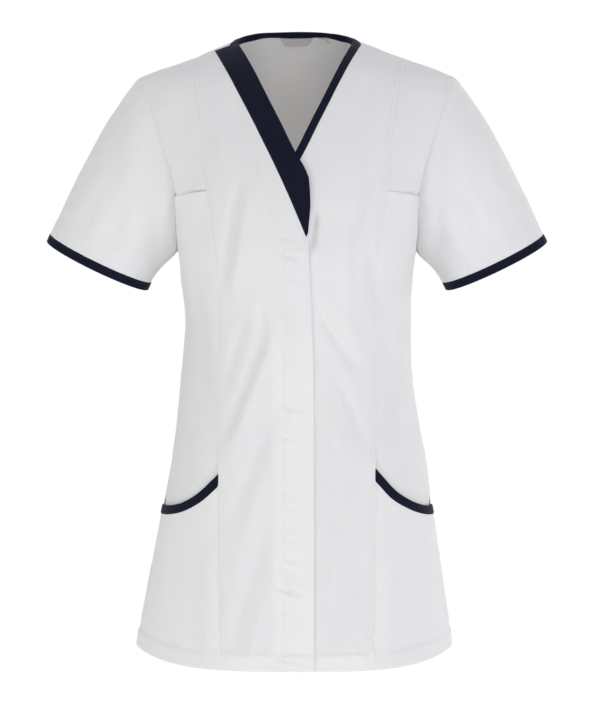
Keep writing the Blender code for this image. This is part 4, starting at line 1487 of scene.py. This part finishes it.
    @staticmethod
    def on_cloth(panel: Panel, places: Grid) -> tuple[Grid, Grid]:
        """Find where places given as x and z lie on a panel.

        Args:
            panel: the panel.
            places: pairs of x and z.

        Returns:
            Points of its outer face, and the normals there.
        """
        outer, normals = panel.outer().reshape(-1, 3), panel.normals.reshape(-1, 3)
        points, ups = [], []
        for place in places:
            gap = np.hypot(outer[:, 0] - place[0], outer[:, 2] - place[1])
            near = np.argsort(gap)[:4]
            weight = 1 / (gap[near] + 0.1 * MM)
            weight = weight / weight.sum()
            points.append([place[0], weight @ outer[near, 1], place[1]])
            ups.append(weight @ normals[near])
        return np.array(points), unit(np.array(ups))


@dataclass
class SideFront(BodyCloth):
    """One side of the front: the upper layer, the layer from the chest pocket down, and the hip pocket."""

    hand: Hand = Hand.LEFT
    columns: int = 22
    chest_mouth: float = -183 * MM
    chest_layer: float = 2.5 * MM
    chest_ramp: float = 3.4 * MM
    chest_gape: float = 1.0 * MM
    chest_gape_depth: float = 55 * MM
    chest_gape_leans: dict[Hand, float] = field(
        default_factory=lambda: {Hand.RIGHT: 0.55, Hand.LEFT: 2.2}
    )
    chest_tuck: float = 0.55
    chest_hem: float = 9 * MM
    chest_hem_raise: float = 0.3 * MM
    chest_second: float = 0.7 * MM
    chest_stitch: float = 7.5 * MM
    chest_puckers: float = 1.2
    chest_backed: float = 0.3
    chest_backed_over: Pair = (-330 * MM, 60 * MM)
    chest_foot_row: int = 12
    chest_mouth_row: int = 18
    hem_fold_row: int = 2
    mouths: dict[Hand, tuple[Pair, ...]] = field(
        default_factory=lambda: {
            # Each row: distance from the centre, level.
            Hand.RIGHT: (
                *((91, -512), (102, -523), (113, -533), (124, -540.5)),
                *((137, -547), (150, -551), (162, -553)),
            ),
            Hand.LEFT: (
                *((91, -505), (102, -518), (113, -530), (124, -538.5)),
                *((137, -546), (150, -551), (162, -553)),
            ),
        }
    )
    hip_layer: float = 2.7 * MM
    hip_ramp: float = 20 * MM
    hip_gape: float = 2.6 * MM
    hip_gape_depth: float = 70 * MM
    pocket_rows: int = 68
    pocket_backed: float = 0.5
    trim_width: float = 9.4 * MM
    trim_stitch: float = 7.8 * MM

    def domain(self) -> Grid:
        """Return the grid of angle and level from the princess seam to the side seam."""
        seam = self.pattern.side_line(self.hand, Face.FRONT)
        return self.pattern.between(self.pattern.line("princess", "princess", self.hand), seam, self.columns)

    def borders(self, domain: Grid) -> list[Border]:
        """Return the sewn sides: plain at the side seam, topstitched at the armhole above it."""
        above = self.above_arm(domain[:, -1, 1])
        return [
            Border("left", Edge.SUNK),
            Border("right", Edge.SUNK, 1 - above),
            Border("right", Edge.RAISED, above),
        ]

    def chest_lens(self) -> Grid:
        """Return how far the chest pocket's mouth stands open at each column, from 0 to 1."""
        share = np.linspace(0, 1, self.columns + 1) ** self.chest_gape_leans[self.hand]
        return np.sin(np.pi * share) ** 3

    def lay_upper(self, domain: Grid) -> Panel:
        """Lay the upper layer, which runs down behind the chest pocket's mouth.

        Args:
            domain: the side front's grid of angle and level.

        Returns:
            The panel, not yet built.
        """
        upper = domain[self.pattern.row_at(self.chest_foot_row) :]
        points, normals = self.drape.surface(upper)
        tucked = ease((self.chest_mouth + self.chest_ramp - upper[..., 1]) / self.chest_ramp)
        tucked = tucked * (self.chest_tuck + (1 - self.chest_tuck) * self.chest_lens()[None, :])
        name = f"side_front_upper_{self.hand.word}"
        borders = [*self.borders(upper), self.at_shoulder]
        extra = -self.chest_layer * tucked
        return Panel(name, points, normals, borders, 127, self.work, extra=extra)

    def lay_middle(self, domain: Grid) -> Panel:
        """Lay the layer from the chest pocket's mouth down, and behind the hip pocket.

        Args:
            domain: the side front's grid of angle and level.

        Returns:
            The panel, not yet built.
        """
        row_at = self.pattern.row_at
        middle = domain[row_at(self.hem_fold_row) : row_at(self.chest_mouth_row) + 1]
        points, normals = self.drape.surface(middle)
        gape = self.chest_gape * self.chest_lens()[None, :]
        gape = gape * ease(1 + (middle[..., 1] - self.chest_mouth) / self.chest_gape_depth)
        mouth = self.hip_mouth(self.columns)[None, :, 1]
        behind = ease((mouth + self.hip_ramp - middle[..., 1]) / self.hip_ramp)
        up, along = run_along(points, 0), run_along(points, 1)
        down = up[-1:] - up
        turned = ease((self.chest_hem - down) / self.hem_step)
        edge = self.chest_hem_raise * turned - self.work.groove(down - self.chest_stitch)
        edge = edge + self.work.puckers(down - self.chest_hem, along, 41, self.chest_puckers)
        thickness = self.single + self.chest_second * turned
        name = f"side_front_{self.hand.word}"
        extra = gape + edge - self.hip_layer * behind
        start, run = self.chest_backed_over
        backed = self.chest_backed * np.maximum(ease((middle[..., 1] - start) / run), turned)
        borders = self.borders(middle)
        return Panel(name, points, normals, borders, 131, self.work, thickness, extra, backed)

    def hip_mouth(self, columns: int) -> Grid:
        """Follow the hip pocket's mouth.

        Args:
            columns: the number of steps across.

        Returns:
            Pairs of angle and level, from the princess seam to the side seam.
        """
        form = self.pattern.form
        mouth = self.mouths[self.hand]
        curve = smooth_curve([row[0] * MM for row in mouth], [row[1] * MM for row in mouth])
        first, last = mouth[0][0] * MM, mouth[-1][0] * MM
        level = np.full(columns + 1, float(curve(np.array(first))))
        inner_x = self.hand.value * self.pattern.x_of("princess", level[:1])
        start = float(form.angle_at(inner_x, level[:1], Face.FRONT)[0])
        end = 0.0 if self.hand is Hand.LEFT else math.pi
        angle = np.linspace(start, end, columns + 1)
        tries = 30
        for _ in range(tries):
            level = curve(np.clip(np.abs(form.point(angle, level)[..., 0]), first, last))
        return np.stack([angle, level], axis=-1)

    def lay_pocket(self) -> Panel:
        """Lay the hip pocket, from the hem up to its curved mouth.

        Returns:
            The panel, not yet built.
        """
        mouth = self.hip_mouth(self.columns)
        foot = self.pattern.form.side_hem
        level = np.linspace(foot, mouth[0, 1], self.pocket_rows + 1)
        inner = self.pattern.pairs(self.hand.value * self.pattern.x_of("princess", level), level)
        level = np.linspace(foot, mouth[-1, 1], self.pocket_rows + 1)
        outer = np.stack([np.full(len(level), mouth[-1, 0]), level], axis=-1)
        foot_line = self.pattern.straight(inner[0], outer[0], self.columns)
        domain = self.pattern.fill(inner, outer, foot_line, mouth)
        points, normals = self.drape.surface(domain)
        gape = self.hip_gape * np.sin(np.pi * np.linspace(0, 1, self.columns + 1))[None, :]
        gape = gape * ease(1 + (domain[..., 1] - mouth[None, :, 1]) / self.hip_gape_depth)
        hem_lift, thickness = self.hem(points, 43 + self.hand.value)
        borders = [Border("left", Edge.SUNK), Border("right", Edge.SUNK)]
        name = f"hip_pocket_{self.hand.word}"
        backed = np.full(gape.shape, self.pocket_backed)
        extra = hem_lift + gape
        return Panel(name, points, normals, borders, 137, self.work, thickness, extra, backed)

    def build(self) -> None:
        """Build the three layers and the trim of the hip pocket's mouth, and sew them."""
        domain = self.domain()
        upper, middle, pocket = self.lay_upper(domain), self.lay_middle(domain), self.lay_pocket()
        for panel in (upper, middle, pocket):
            panel.build(self.finishes.white)
        above = upper.points[:, -1, 2] > self.chest_mouth + self.stitch_clear
        points, normals = upper.line("right", self.work.stitch_in)
        self.sewing.white.sew(points[above], normals[above])
        self.sewing.white.sew(*middle.line("top", self.chest_stitch))
        self.sew_hem(pocket)
        edge, _ = pocket.line("top", 0.0)
        slope = np.gradient(edge[:, 2]) / np.linalg.norm(np.gradient(edge[:, :2], axis=0), axis=1)
        lean = np.sqrt(1 + slope**2)
        widths = np.linspace(self.trim_width, 0, self.leg_columns)
        lines = [pocket.line("top", width * lean) for width in widths]
        points = np.stack([line for line, _ in lines], axis=1)
        normals = np.stack([up for _, up in lines], axis=1)
        trim = Binding(f"hip_pocket_trim_{self.hand.word}", points - normals * FACE_OUT, normals, 2)
        trim.build(self.finishes.navy)
        stitches, ups = pocket.line("top", self.trim_stitch * lean)
        self.sewing.navy.sew(stitches + ups * (trim.cover + trim.cloth - FACE_OUT), ups)


@dataclass
class Back(BodyCloth):
    """The back in one piece, with two long waist darts, and its neck edge."""

    side_columns: int = 22
    shoulder_columns: int = 16
    neck_columns: int = 64
    dart_top: float = -190 * MM
    dart_foot: float = -500 * MM
    dart_fade: float = 40 * MM
    dart_depth: float = 0.7 * MM
    dart_width: float = 2.2 * MM
    binding_width: float = 9 * MM
    panel: Panel = field(init=False)

    def __post_init__(self) -> None:
        """Lay out the back."""
        pattern = self.pattern
        darts = {hand: pattern.line("back_dart", "princess", hand, Face.BACK) for hand in Hand}
        sides = {hand: pattern.side_line(hand, Face.BACK) for hand in Hand}
        turns = np.linspace(2 * np.pi, np.pi, self.neck_columns + 1)
        neck = np.stack([turns, np.zeros(len(turns))], axis=-1)
        left_shoulder = pattern.straight(darts[Hand.LEFT][-1], neck[0], self.shoulder_columns)
        right_shoulder = pattern.straight(neck[-1], darts[Hand.RIGHT][-1], self.shoulder_columns)
        top = np.concatenate([left_shoulder[:-1], neck, right_shoulder[1:]])
        foot = pattern.straight(darts[Hand.LEFT][0], darts[Hand.RIGHT][0], len(top) - 1)
        middle = pattern.spread(pattern.fill(darts[Hand.LEFT], darts[Hand.RIGHT], foot, top))
        left = pattern.between(sides[Hand.LEFT], darts[Hand.LEFT], self.side_columns)
        right = pattern.between(darts[Hand.RIGHT], sides[Hand.RIGHT], self.side_columns)
        domain = np.concatenate([left[:, :-1], middle, right[:, 1:]], axis=1)
        points, normals = self.drape.surface(domain)
        hem_lift, thickness = self.hem(points, 47)
        across, along = run_along(points, 1), run_along(points, 0)
        level = domain[:, self.side_columns, 1]
        length = ease((level - self.dart_foot) / self.dart_fade)
        length = length * ease((self.dart_top - level) / self.dart_fade)
        darted = np.zeros(points.shape[:2])
        for number, column in enumerate((self.side_columns, domain.shape[1] - 1 - self.side_columns)):
            away = np.abs(across - across[:, column : column + 1])
            darted -= self.dart_depth * np.exp(-((away / self.dart_width) ** 2)) * length[:, None]
            darted += self.work.puckers(away, along, 59 + number) * length[:, None]
        above = self.above_arm(domain[:, 0, 1])
        shoulder = np.zeros(domain.shape[1])
        shoulder[: self.side_columns + self.shoulder_columns] = self.shoulder_raised
        shoulder[-self.side_columns - self.shoulder_columns :] = self.shoulder_raised
        borders = [
            Border(side, edge, share)
            for side in ("left", "right")
            for edge, share in ((Edge.SUNK, 1 - above), (Edge.RAISED, above))
        ]
        borders.append(Border("top", Edge.RAISED, shoulder))
        extra = hem_lift + darted
        self.panel = Panel("back", points, normals, borders, 149, self.work, thickness, extra)

    def neck_strip(self) -> tuple[Grid, Grid]:
        """Return the middle of the cloth beside the back neck, and the normals.

        Returns:
            Rows from the right shoulder to the left one, columns from the binding's leg out to the edge.
        """
        turns = np.linspace(np.pi, 2 * np.pi, 2 * self.neck_columns + 1)
        widths = np.linspace(self.binding_width, 0, self.leg_columns)
        levels = [self.pattern.form.levels_below_neck(turns, width) for width in widths]
        domain = np.stack([np.stack([turns, level], axis=-1) for level in levels], axis=1)
        return self.drape.surface(domain)

    def build(self) -> None:
        """Build the back and sew its hem, armholes and shoulders."""
        self.panel.build(self.finishes.white)
        self.sew_hem(self.panel)
        for side in ("left", "right"):
            points, normals = self.panel.line(side, self.work.stitch_in)
            above = self.panel.points[:, 0, 2] > self.underarm + 2 * self.stitch_clear
            self.sewing.white.sew(points[above], normals[above])
        points, normals = self.panel.line("top", self.work.stitch_in)
        width = self.side_columns + self.shoulder_columns
        for run in (slice(2, width - 1), slice(-width + 1, -2)):
            self.sewing.white.sew(points[run], normals[run])


@dataclass
class NeckBinding:
    """The narrow navy binding round the back neck and down the left front's edge, in one strip."""

    finishes: Finishes
    sewing: Sewing
    front: Fronts
    back: Back
    hang: float = 0.75
    hang_from: float = 24 * MM
    hang_over: float = 30 * MM
    hang_rows: int = 12
    seam_lift: float = 0.9 * MM
    seam_rows: float = 3
    inner_columns: int = 5

    def build(self) -> None:
        """Fold the binding over both edges and stitch it."""
        back_points, back_normals = self.back.neck_strip()
        front_points, front_normals = self.front.neck_strip()
        corner = (back_points[-1:] + front_points[:1]) / 2
        points = np.concatenate([back_points[:-1], corner, front_points[1:]])
        corner_up = unit(back_normals[-1:] + front_normals[:1])
        normals = np.concatenate([back_normals[:-1], corner_up, front_normals[1:]])
        seam, reach = len(back_points) - 1, 2
        eased = points.copy()
        for row in range(seam - reach, seam + reach + 1):
            eased[row] = points[row - reach : row + reach + 1].mean(axis=0)
        from_seam = (np.arange(len(points)) - seam)[:, None, None]
        eased = eased + normals * self.seam_lift * np.exp(-((from_seam / self.seam_rows) ** 2))
        at_side = ease((np.abs(back_points[:, -1, 0]) - self.hang_from) / self.hang_over)
        hang = np.zeros(len(points))
        hang[: seam + 1] = at_side
        hang[seam + 1 : seam + 1 + self.hang_rows] = np.linspace(1, 0, self.hang_rows)
        binding = Binding("neck_binding", eased, normals, self.inner_columns, hang=self.hang * hang)
        binding.build(self.finishes.navy)
        outer, _ = binding.faces()
        self.sewing.navy.sew(outer[:, 1], binding.normals[:, 1])


@dataclass
class Sleeve:
    """A short sleeve from the armhole to the cuff, and the navy binding round the cuff."""

    finishes: Finishes
    sewing: Sewing
    drape: Drape = field(default_factory=Drape)
    work: SeamWork = field(default_factory=SeamWork)
    hand: Hand = Hand.LEFT
    rows: int = 62
    cuff_centre: Triple = (238.5 * MM, -6 * MM, -265 * MM)
    half_width: float = 66 * MM
    half_depth: float = 47 * MM
    tilt: float = math.radians(26)
    front_dip: float = 7 * MM
    armhole_gap: float = -0.9 * MM
    underarm_gap: float = 0.2 * MM
    binding_width: float = 9 * MM
    leaves_top: Triple = (0.66, 0, -0.75)
    leaves_front: Triple = (0.80, -0.14, -0.58)
    leaves_underarm: Triple = (0.56, 0, -0.83)
    leaves_back: Triple = (0.80, 0.14, -0.58)
    thickness: float = 0.7 * MM
    binding_shares: tuple[float, ...] = (0.25, 0.5, 0.75, 1.0)
    binding_inner_columns: int = 5
    cap_fullness: float = 0.8 * MM
    cap_from: float = 7 * MM
    cap_width: float = 5 * MM
    cap_levels: Pair = (-200 * MM, 80 * MM)
    seam_depth: float = 0.6 * MM
    seam_width: float = 1.6 * MM
    seam_puckers: float = 1.3
    cuff_puckers: float = 1.2
    pressed_at: Triple = (0.12, 0.1, 0.02)
    crown_columns: int = 2
    crown_fades: float = 0.08
    front_folds: tuple[Fold, ...] = (
        Fold(170, -84, 167, -250, 10, -3.4, 0.3),
        Fold(196, -90, 196, -240, 12, 2.0),
        Fold(188, -170, 232, -262, 10, -1.6),
        Fold(214, -96, 252, -200, 14, 1.8),
        Fold(180, -236, 214, -258, 8, 1.4),
        Fold(236, -176, 262, -236, 10, -1.4),
    )
    back_folds: tuple[Fold, ...] = (
        Fold(178, -90, 170, -250, 11, -3.4, 0.3),
        Fold(204, -90, 200, -240, 13, 2.2),
        Fold(192, -180, 236, -262, 11, -2.0),
        Fold(220, -104, 256, -210, 14, 1.8),
    )

    def ring(self) -> tuple[Grid, Grid]:
        """Follow the armhole round, as on the left arm.

        Returns:
            Points from the shoulder tip down the front and up the back, and their normals.
        """
        start = self.drape.pattern.row_at(self.drape.pattern.low_count - 1)
        front = self.drape.pattern.side_line(self.hand, Face.FRONT)[start:]
        back = self.drape.pattern.side_line(self.hand, Face.BACK)[start:]
        ring = np.concatenate([front[::-1], back[1:-1]])
        points, normals = self.drape.surface(ring)
        mirror = np.array([self.hand.value, 1, 1])
        return points * mirror, normals * mirror

    def loft(self) -> tuple[Grid, Grid]:
        """Shape the sleeve's cloth, as on the left arm.

        Returns:
            Rings of points from the armhole to the cuff, and their normals.
        """
        start, away = self.ring()
        half = len(start) // 2
        closed = np.vstack([start, start[:1]])
        run = run_along(closed[:, None], 0)[:, 0]
        front, back = run[: half + 1] / run[half], (run[half:-1] - run[half]) / (run[-1] - run[half])
        turn = np.pi * np.concatenate([front, 1 + back[1:]])
        wide, deep = np.cos(turn)[:, None], np.sin(turn)[:, None]
        across = np.array([math.cos(self.tilt), 0, math.sin(self.tilt)])
        along = np.array([math.sin(self.tilt), 0, -math.cos(self.tilt)])
        forward = np.array([0, -1, 0])
        cuff = np.array(self.cuff_centre) + across * self.half_width * wide
        cuff = cuff + forward * self.half_depth * deep + along * self.front_dip * deep
        band_top = cuff - along * self.binding_width
        leave = np.maximum(wide, 0) ** 2 * self.leaves_top + np.maximum(-wide, 0) ** 2 * self.leaves_underarm
        leave = leave + np.maximum(deep, 0) ** 2 * self.leaves_front
        leave = unit(leave + np.maximum(-deep, 0) ** 2 * self.leaves_back)
        below_arm = ease((-wide - 0.2) / 0.5)
        start = start + leave * self.armhole_gap * (1 - below_arm) + away * self.underarm_gap * below_arm
        reach = np.linalg.norm(band_top - start, axis=1, keepdims=True)
        grid = []
        for t in np.linspace(0, 1, self.rows + 1):
            row = start * (1 + 2 * t) * (1 - t) ** 2 + band_top * t * t * (3 - 2 * t)
            grid.append(row + reach * (leave * t * (1 - t) ** 2 - along * t * t * (1 - t)))
        for share in self.binding_shares:
            grid.append(band_top + (cuff - band_top) * share)
        points = self.rounded(np.array(grid))
        normals = self.ring_normals(points)
        return self.folded(points, normals), normals

    def rounded(self, points: Grid) -> Grid:
        """Round off the crown, which starts as the shoulder's narrow ridge, close to the seam.

        Args:
            points: the sleeve's rings.

        Returns:
            The rings, rounded.
        """
        width = self.crown_columns
        first, last = points[:, -width - 1], points[:, width + 1]
        chord = np.linalg.norm(last - first, axis=1, keepdims=True)
        leaving = unit(first - points[:, -width - 2]) * chord
        arriving = unit(points[:, width + 2] - last) * chord
        share = ease(np.linspace(0, 1, len(points)) / self.crown_fades)[:, None]
        rounded = points.copy()
        for column, t in enumerate(np.linspace(0, 1, 2 * width + 3)[1:-1], -width):
            curve = first * (1 + 2 * t) * (1 - t) ** 2 + last * t * t * (3 - 2 * t)
            curve = curve + leaving * t * (1 - t) ** 2 - arriving * t * t * (1 - t)
            rounded[:, column] = points[:, column] + (curve - points[:, column]) * share
        return rounded

    @staticmethod
    def ring_normals(points: Grid) -> Grid:
        """Find the outward normals of rings of points.

        Args:
            points: rings of points.

        Returns:
            Unit normals.
        """
        around = np.roll(points, -1, axis=1) - np.roll(points, 1, axis=1)
        normals = unit(np.cross(np.gradient(points, axis=0), around))
        outward = points - points.mean(axis=1, keepdims=True)
        return normals if np.sum(normals * outward) > 0 else -normals

    def folded(self, points: Grid, normals: Grid) -> Grid:
        """Lay the sleeve's folds, the fullness of its cap and the puckers of its seam on it.

        Args:
            points: the sleeve's rings.
            normals: their outward normals.

        Returns:
            The rings, with folds.
        """
        x, z = points[..., 0], points[..., 2]
        share = np.linspace(0, 1, points.shape[0])[:, None]
        at_seam, at_cuff, at_stitches = self.pressed_at
        free = ease(share / at_seam) * ease((1 - share) / at_cuff)
        front = sum(fold.lift(x, z) for fold in self.front_folds)
        back = sum(fold.lift(x, z) for fold in self.back_folds)
        facing = ease(0.5 - normals[..., 1] / 0.7)
        lift = (front * facing + back * (1 - facing)) * free
        mirror = np.array([self.hand.value, 1, 1])
        for waves in (self.drape.slow_waves, self.drape.quick_waves):
            lift = lift + waves.lift(points * mirror) * free
        run, around = run_along(points, 0), run_along(points, 1)
        start, height = self.cap_levels
        cap = ease((points[0, :, 2] - start) / height)[None, :]
        lift = lift + self.cap_fullness * cap * np.exp(-(((run - self.cap_from) / self.cap_width) ** 2))
        lift = lift - self.seam_depth * np.exp(-((run / self.seam_width) ** 2))
        puckers = self.work.puckers(run, around, 83, self.seam_puckers)
        lift = lift + puckers * ease(share / at_stitches)
        to_binding = run[-1:] - run - self.binding_width
        lift = lift + self.work.puckers(to_binding, around, 89, self.cuff_puckers)
        return points + normals * lift[..., None]

    def build(self) -> None:
        """Build the sleeve and its binding."""
        points, _ = self.loft()
        mirror = np.array([self.hand.value, 1, 1])
        points = points * mirror
        normals = self.ring_normals(points)
        outer, inner = points + normals * FACE_OUT, points + normals * (FACE_OUT - self.thickness)
        name = f"sleeve_{self.hand.word}"
        piece = ClothShell(f"{name}_cloth", outer, inner, self.finishes.white, True).build()
        finish_sheet(piece, name)
        leg = slice(-len(self.binding_shares) - 1, None)
        edge, ups = points[leg].transpose(1, 0, 2), normals[leg].transpose(1, 0, 2)
        name = f"cuff_binding_{self.hand.word}"
        binding = Binding(name, edge, ups, self.binding_inner_columns, closed=True)
        binding.build(self.finishes.navy)
        outer_leg, _ = binding.faces()
        inward = 0.75
        line = outer_leg[:, 0] * (1 - inward) + outer_leg[:, 1] * inward
        self.sewing.navy.sew(np.vstack([line, line[:1]]), np.vstack([ups[:, 1], ups[:1, 1]]))


@dataclass
class InsideLabel:
    """A small bare piece of cloth that hangs inside the back neck from under the binding."""

    node: str
    finish: ClothFinish
    drape: Drape
    centre: float
    half_top: float
    half_foot: float
    height: float
    under: float = 7.6 * MM
    lift: float = -2.2 * MM
    thickness: float = 0.35 * MM
    curl: float = 0.5 * MM
    below_neck: float = -8 * MM

    def build(self) -> None:
        """Lay the label inside the back and build it."""
        form = self.drape.pattern.form
        rows, columns = 9, 21
        # The foot curls in and out along one and a half half-waves, from another place for each label.
        ripple = np.sin(np.linspace(0, np.pi, columns) * 1.5 + self.centre * 40)
        points, normals = [], []
        for t in np.linspace(0, 1, rows):
            half = (1 - t) * self.half_top + t * self.half_foot
            x = self.centre + np.linspace(-1, 1, columns) * half
            angle = form.angle_at(x, np.full(columns, self.below_neck), Face.BACK)
            level = form.levels_below_neck(angle, self.under + t * self.height)
            point, normal = self.drape.surface(np.stack([angle, level], axis=-1))
            points.append(point + normal * (self.lift - self.curl * t * ripple)[:, None])
            normals.append(normal)
        outer = np.array(points)
        inner = outer - np.array(normals) * self.thickness
        piece = ClothShell(f"{self.node}_cloth", inner, outer, self.finish).build()
        finish_sheet(piece, self.node)


@dataclass(frozen=True)
class Lamp:
    """A soft square light that faces a target: its place, target, size in metres, watts and tint."""

    name: str
    place: Triple
    target: Triple
    size: float
    power: float
    tint: Triple

    def build(self) -> None:
        """Hang the lamp and turn it to its target."""
        lamp = bpy.data.lights.new(self.name, "AREA")
        lamp.color = self.tint
        lamp.size = self.size
        lamp.energy = self.power
        made = bpy.data.objects.new(self.name, lamp)
        made.location = self.place
        aim = np.array(self.target) - np.array(self.place)
        flat = math.hypot(aim[0], aim[1])
        made.rotation_euler = (math.atan2(flat, -aim[2]), 0, math.atan2(-aim[0], aim[1]))
        made.visible_camera = False
        bpy.context.scene.collection.objects.link(made)


@dataclass
class Studio:
    """The pale floor, the white surroundings, the soft lights and the camera at the photograph's angle."""

    floor_level: float = -1.40
    floor_size: float = 5.2
    camera_place: Triple = (0.0036, -3.2, -0.379)
    field_height: float = 0.864
    distance: float = 3.2
    sensor_width: float = 36.0
    world: float = 0.52
    wall: float = 1.02
    wall_from: float = 0.30
    wall_to: float = 0.90
    lamps: tuple[Lamp, ...] = (
        Lamp("cool_side_panel", (2.5, -1.9, -0.8), (0.05, 0, -0.45), 1.2, 27.0, (0.955, 0.95, 1.0)),
        Lamp("warm_side_panel", (-2.5, -1.8, -0.9), (-0.05, 0, -0.45), 1.2, 24.5, (0.99, 0.995, 0.985)),
        Lamp("front_panel", (0.3, -3.7, -1.15), (0, 0, -0.45), 1.6, 26.0, (1.0, 0.985, 0.955)),
        Lamp("top_panel", (0.0, 0.25, 1.9), (0, 0, -0.1), 1.2, 9.0, (0.94, 0.95, 1.0)),
        Lamp("back_panel", (2.4, 2.3, 0.3), (0, 0, -0.35), 1.4, 20.0, (1.0, 0.99, 0.97)),
        Lamp("neck_glow", (-0.02, -0.03, -0.19), (0.012, 0.07, -0.03), 0.06, 0.062, (1.0, 0.945, 0.87)),
    )

    def build(self) -> None:
        """Set up the studio."""
        self.surroundings()
        self.floor()
        for lamp in self.lamps:
            lamp.build()
        self.camera()

    def surroundings(self) -> None:
        """Surround the tunic with an even soft white, bright as a lit wall behind it."""
        world = bpy.data.worlds.new("soft_white")
        world.use_nodes = True
        tree = world.node_tree
        sky = tree.nodes["Background"]
        sky.inputs["Color"].default_value = (0.985, 0.992, 1, 1)
        way = add_node(tree, "ShaderNodeTexCoord").outputs["Generated"]
        back = add_node(tree, "ShaderNodeSeparateXYZ", {}, {"Vector": way}).outputs["Y"]
        values = {"From Min": self.wall_from, "From Max": self.wall_to}
        values |= {"To Min": self.world, "To Max": self.wall}
        wall = add_node(
            tree, "ShaderNodeMapRange", values, {"Value": back}, interpolation_type="SMOOTHSTEP"
        )
        tree.links.new(wall.outputs["Result"], sky.inputs["Strength"])
        scene = bpy.context.scene
        scene.world = world
        scene.view_settings.view_transform = "Standard"
        scene.view_settings.look = "None"

    def floor(self) -> None:
        """Lay the pale floor."""
        half = self.floor_size / 2
        mesh = bpy.data.meshes.new("floor")
        corners = [(-half, -half, 0), (half, -half, 0), (half, half, 0), (-half, half, 0)]
        mesh.from_pydata(corners, [], [(0, 1, 2, 3)])
        floor = bpy.data.objects.new("floor", mesh)
        floor.location = (0, 0, self.floor_level)
        bpy.context.scene.collection.objects.link(floor)
        paint = bpy.data.materials.new("pale_floor")
        paint.use_nodes = True
        shader = paint.node_tree.nodes["Principled BSDF"]
        shader.inputs["Base Color"].default_value = (0.85, 0.85, 0.85, 1)
        shader.inputs["Roughness"].default_value = 0.9
        floor.data.materials.append(paint)

    def camera(self) -> None:
        """Place the camera, level and square to the front."""
        lens = bpy.data.cameras.new("camera")
        lens.sensor_fit = "AUTO"
        lens.sensor_width = self.sensor_width
        lens.lens = self.sensor_width * self.distance / self.field_height
        made = bpy.data.objects.new("camera", lens)
        made.location = self.camera_place
        made.rotation_euler = (math.pi / 2, 0, 0)
        bpy.context.scene.collection.objects.link(made)
        bpy.context.scene.camera = made


def main() -> None:
    """Build the tunic, its stitching and the studio."""
    logging.basicConfig(level=logging.INFO, format="%(name)s: %(message)s")
    finishes = Finishes()
    sewing = Sewing(finishes)
    drape = Drape()
    fronts, back = Fronts(finishes, sewing, drape), Back(finishes, sewing, drape)
    fronts.build()
    back.build()
    NeckBinding(finishes, sewing, fronts, back).build()
    for hand in Hand:
        SideFront(finishes, sewing, drape, hand=hand).build()
        Sleeve(finishes, sewing, drape, hand=hand).build()
    # Each label: centre, half of its width at the top and at the foot, height.
    InsideLabel("neck_label", finishes.label, drape, -1 * MM, 22.5 * MM, 12.5 * MM, 10.4 * MM).build()
    InsideLabel("size_tab", finishes.tab, drape, 33 * MM, 5.5 * MM, 5.5 * MM, 10.8 * MM).build()
    sewing.build()
    Studio().build()


if __name__ == "__main__":
    main()
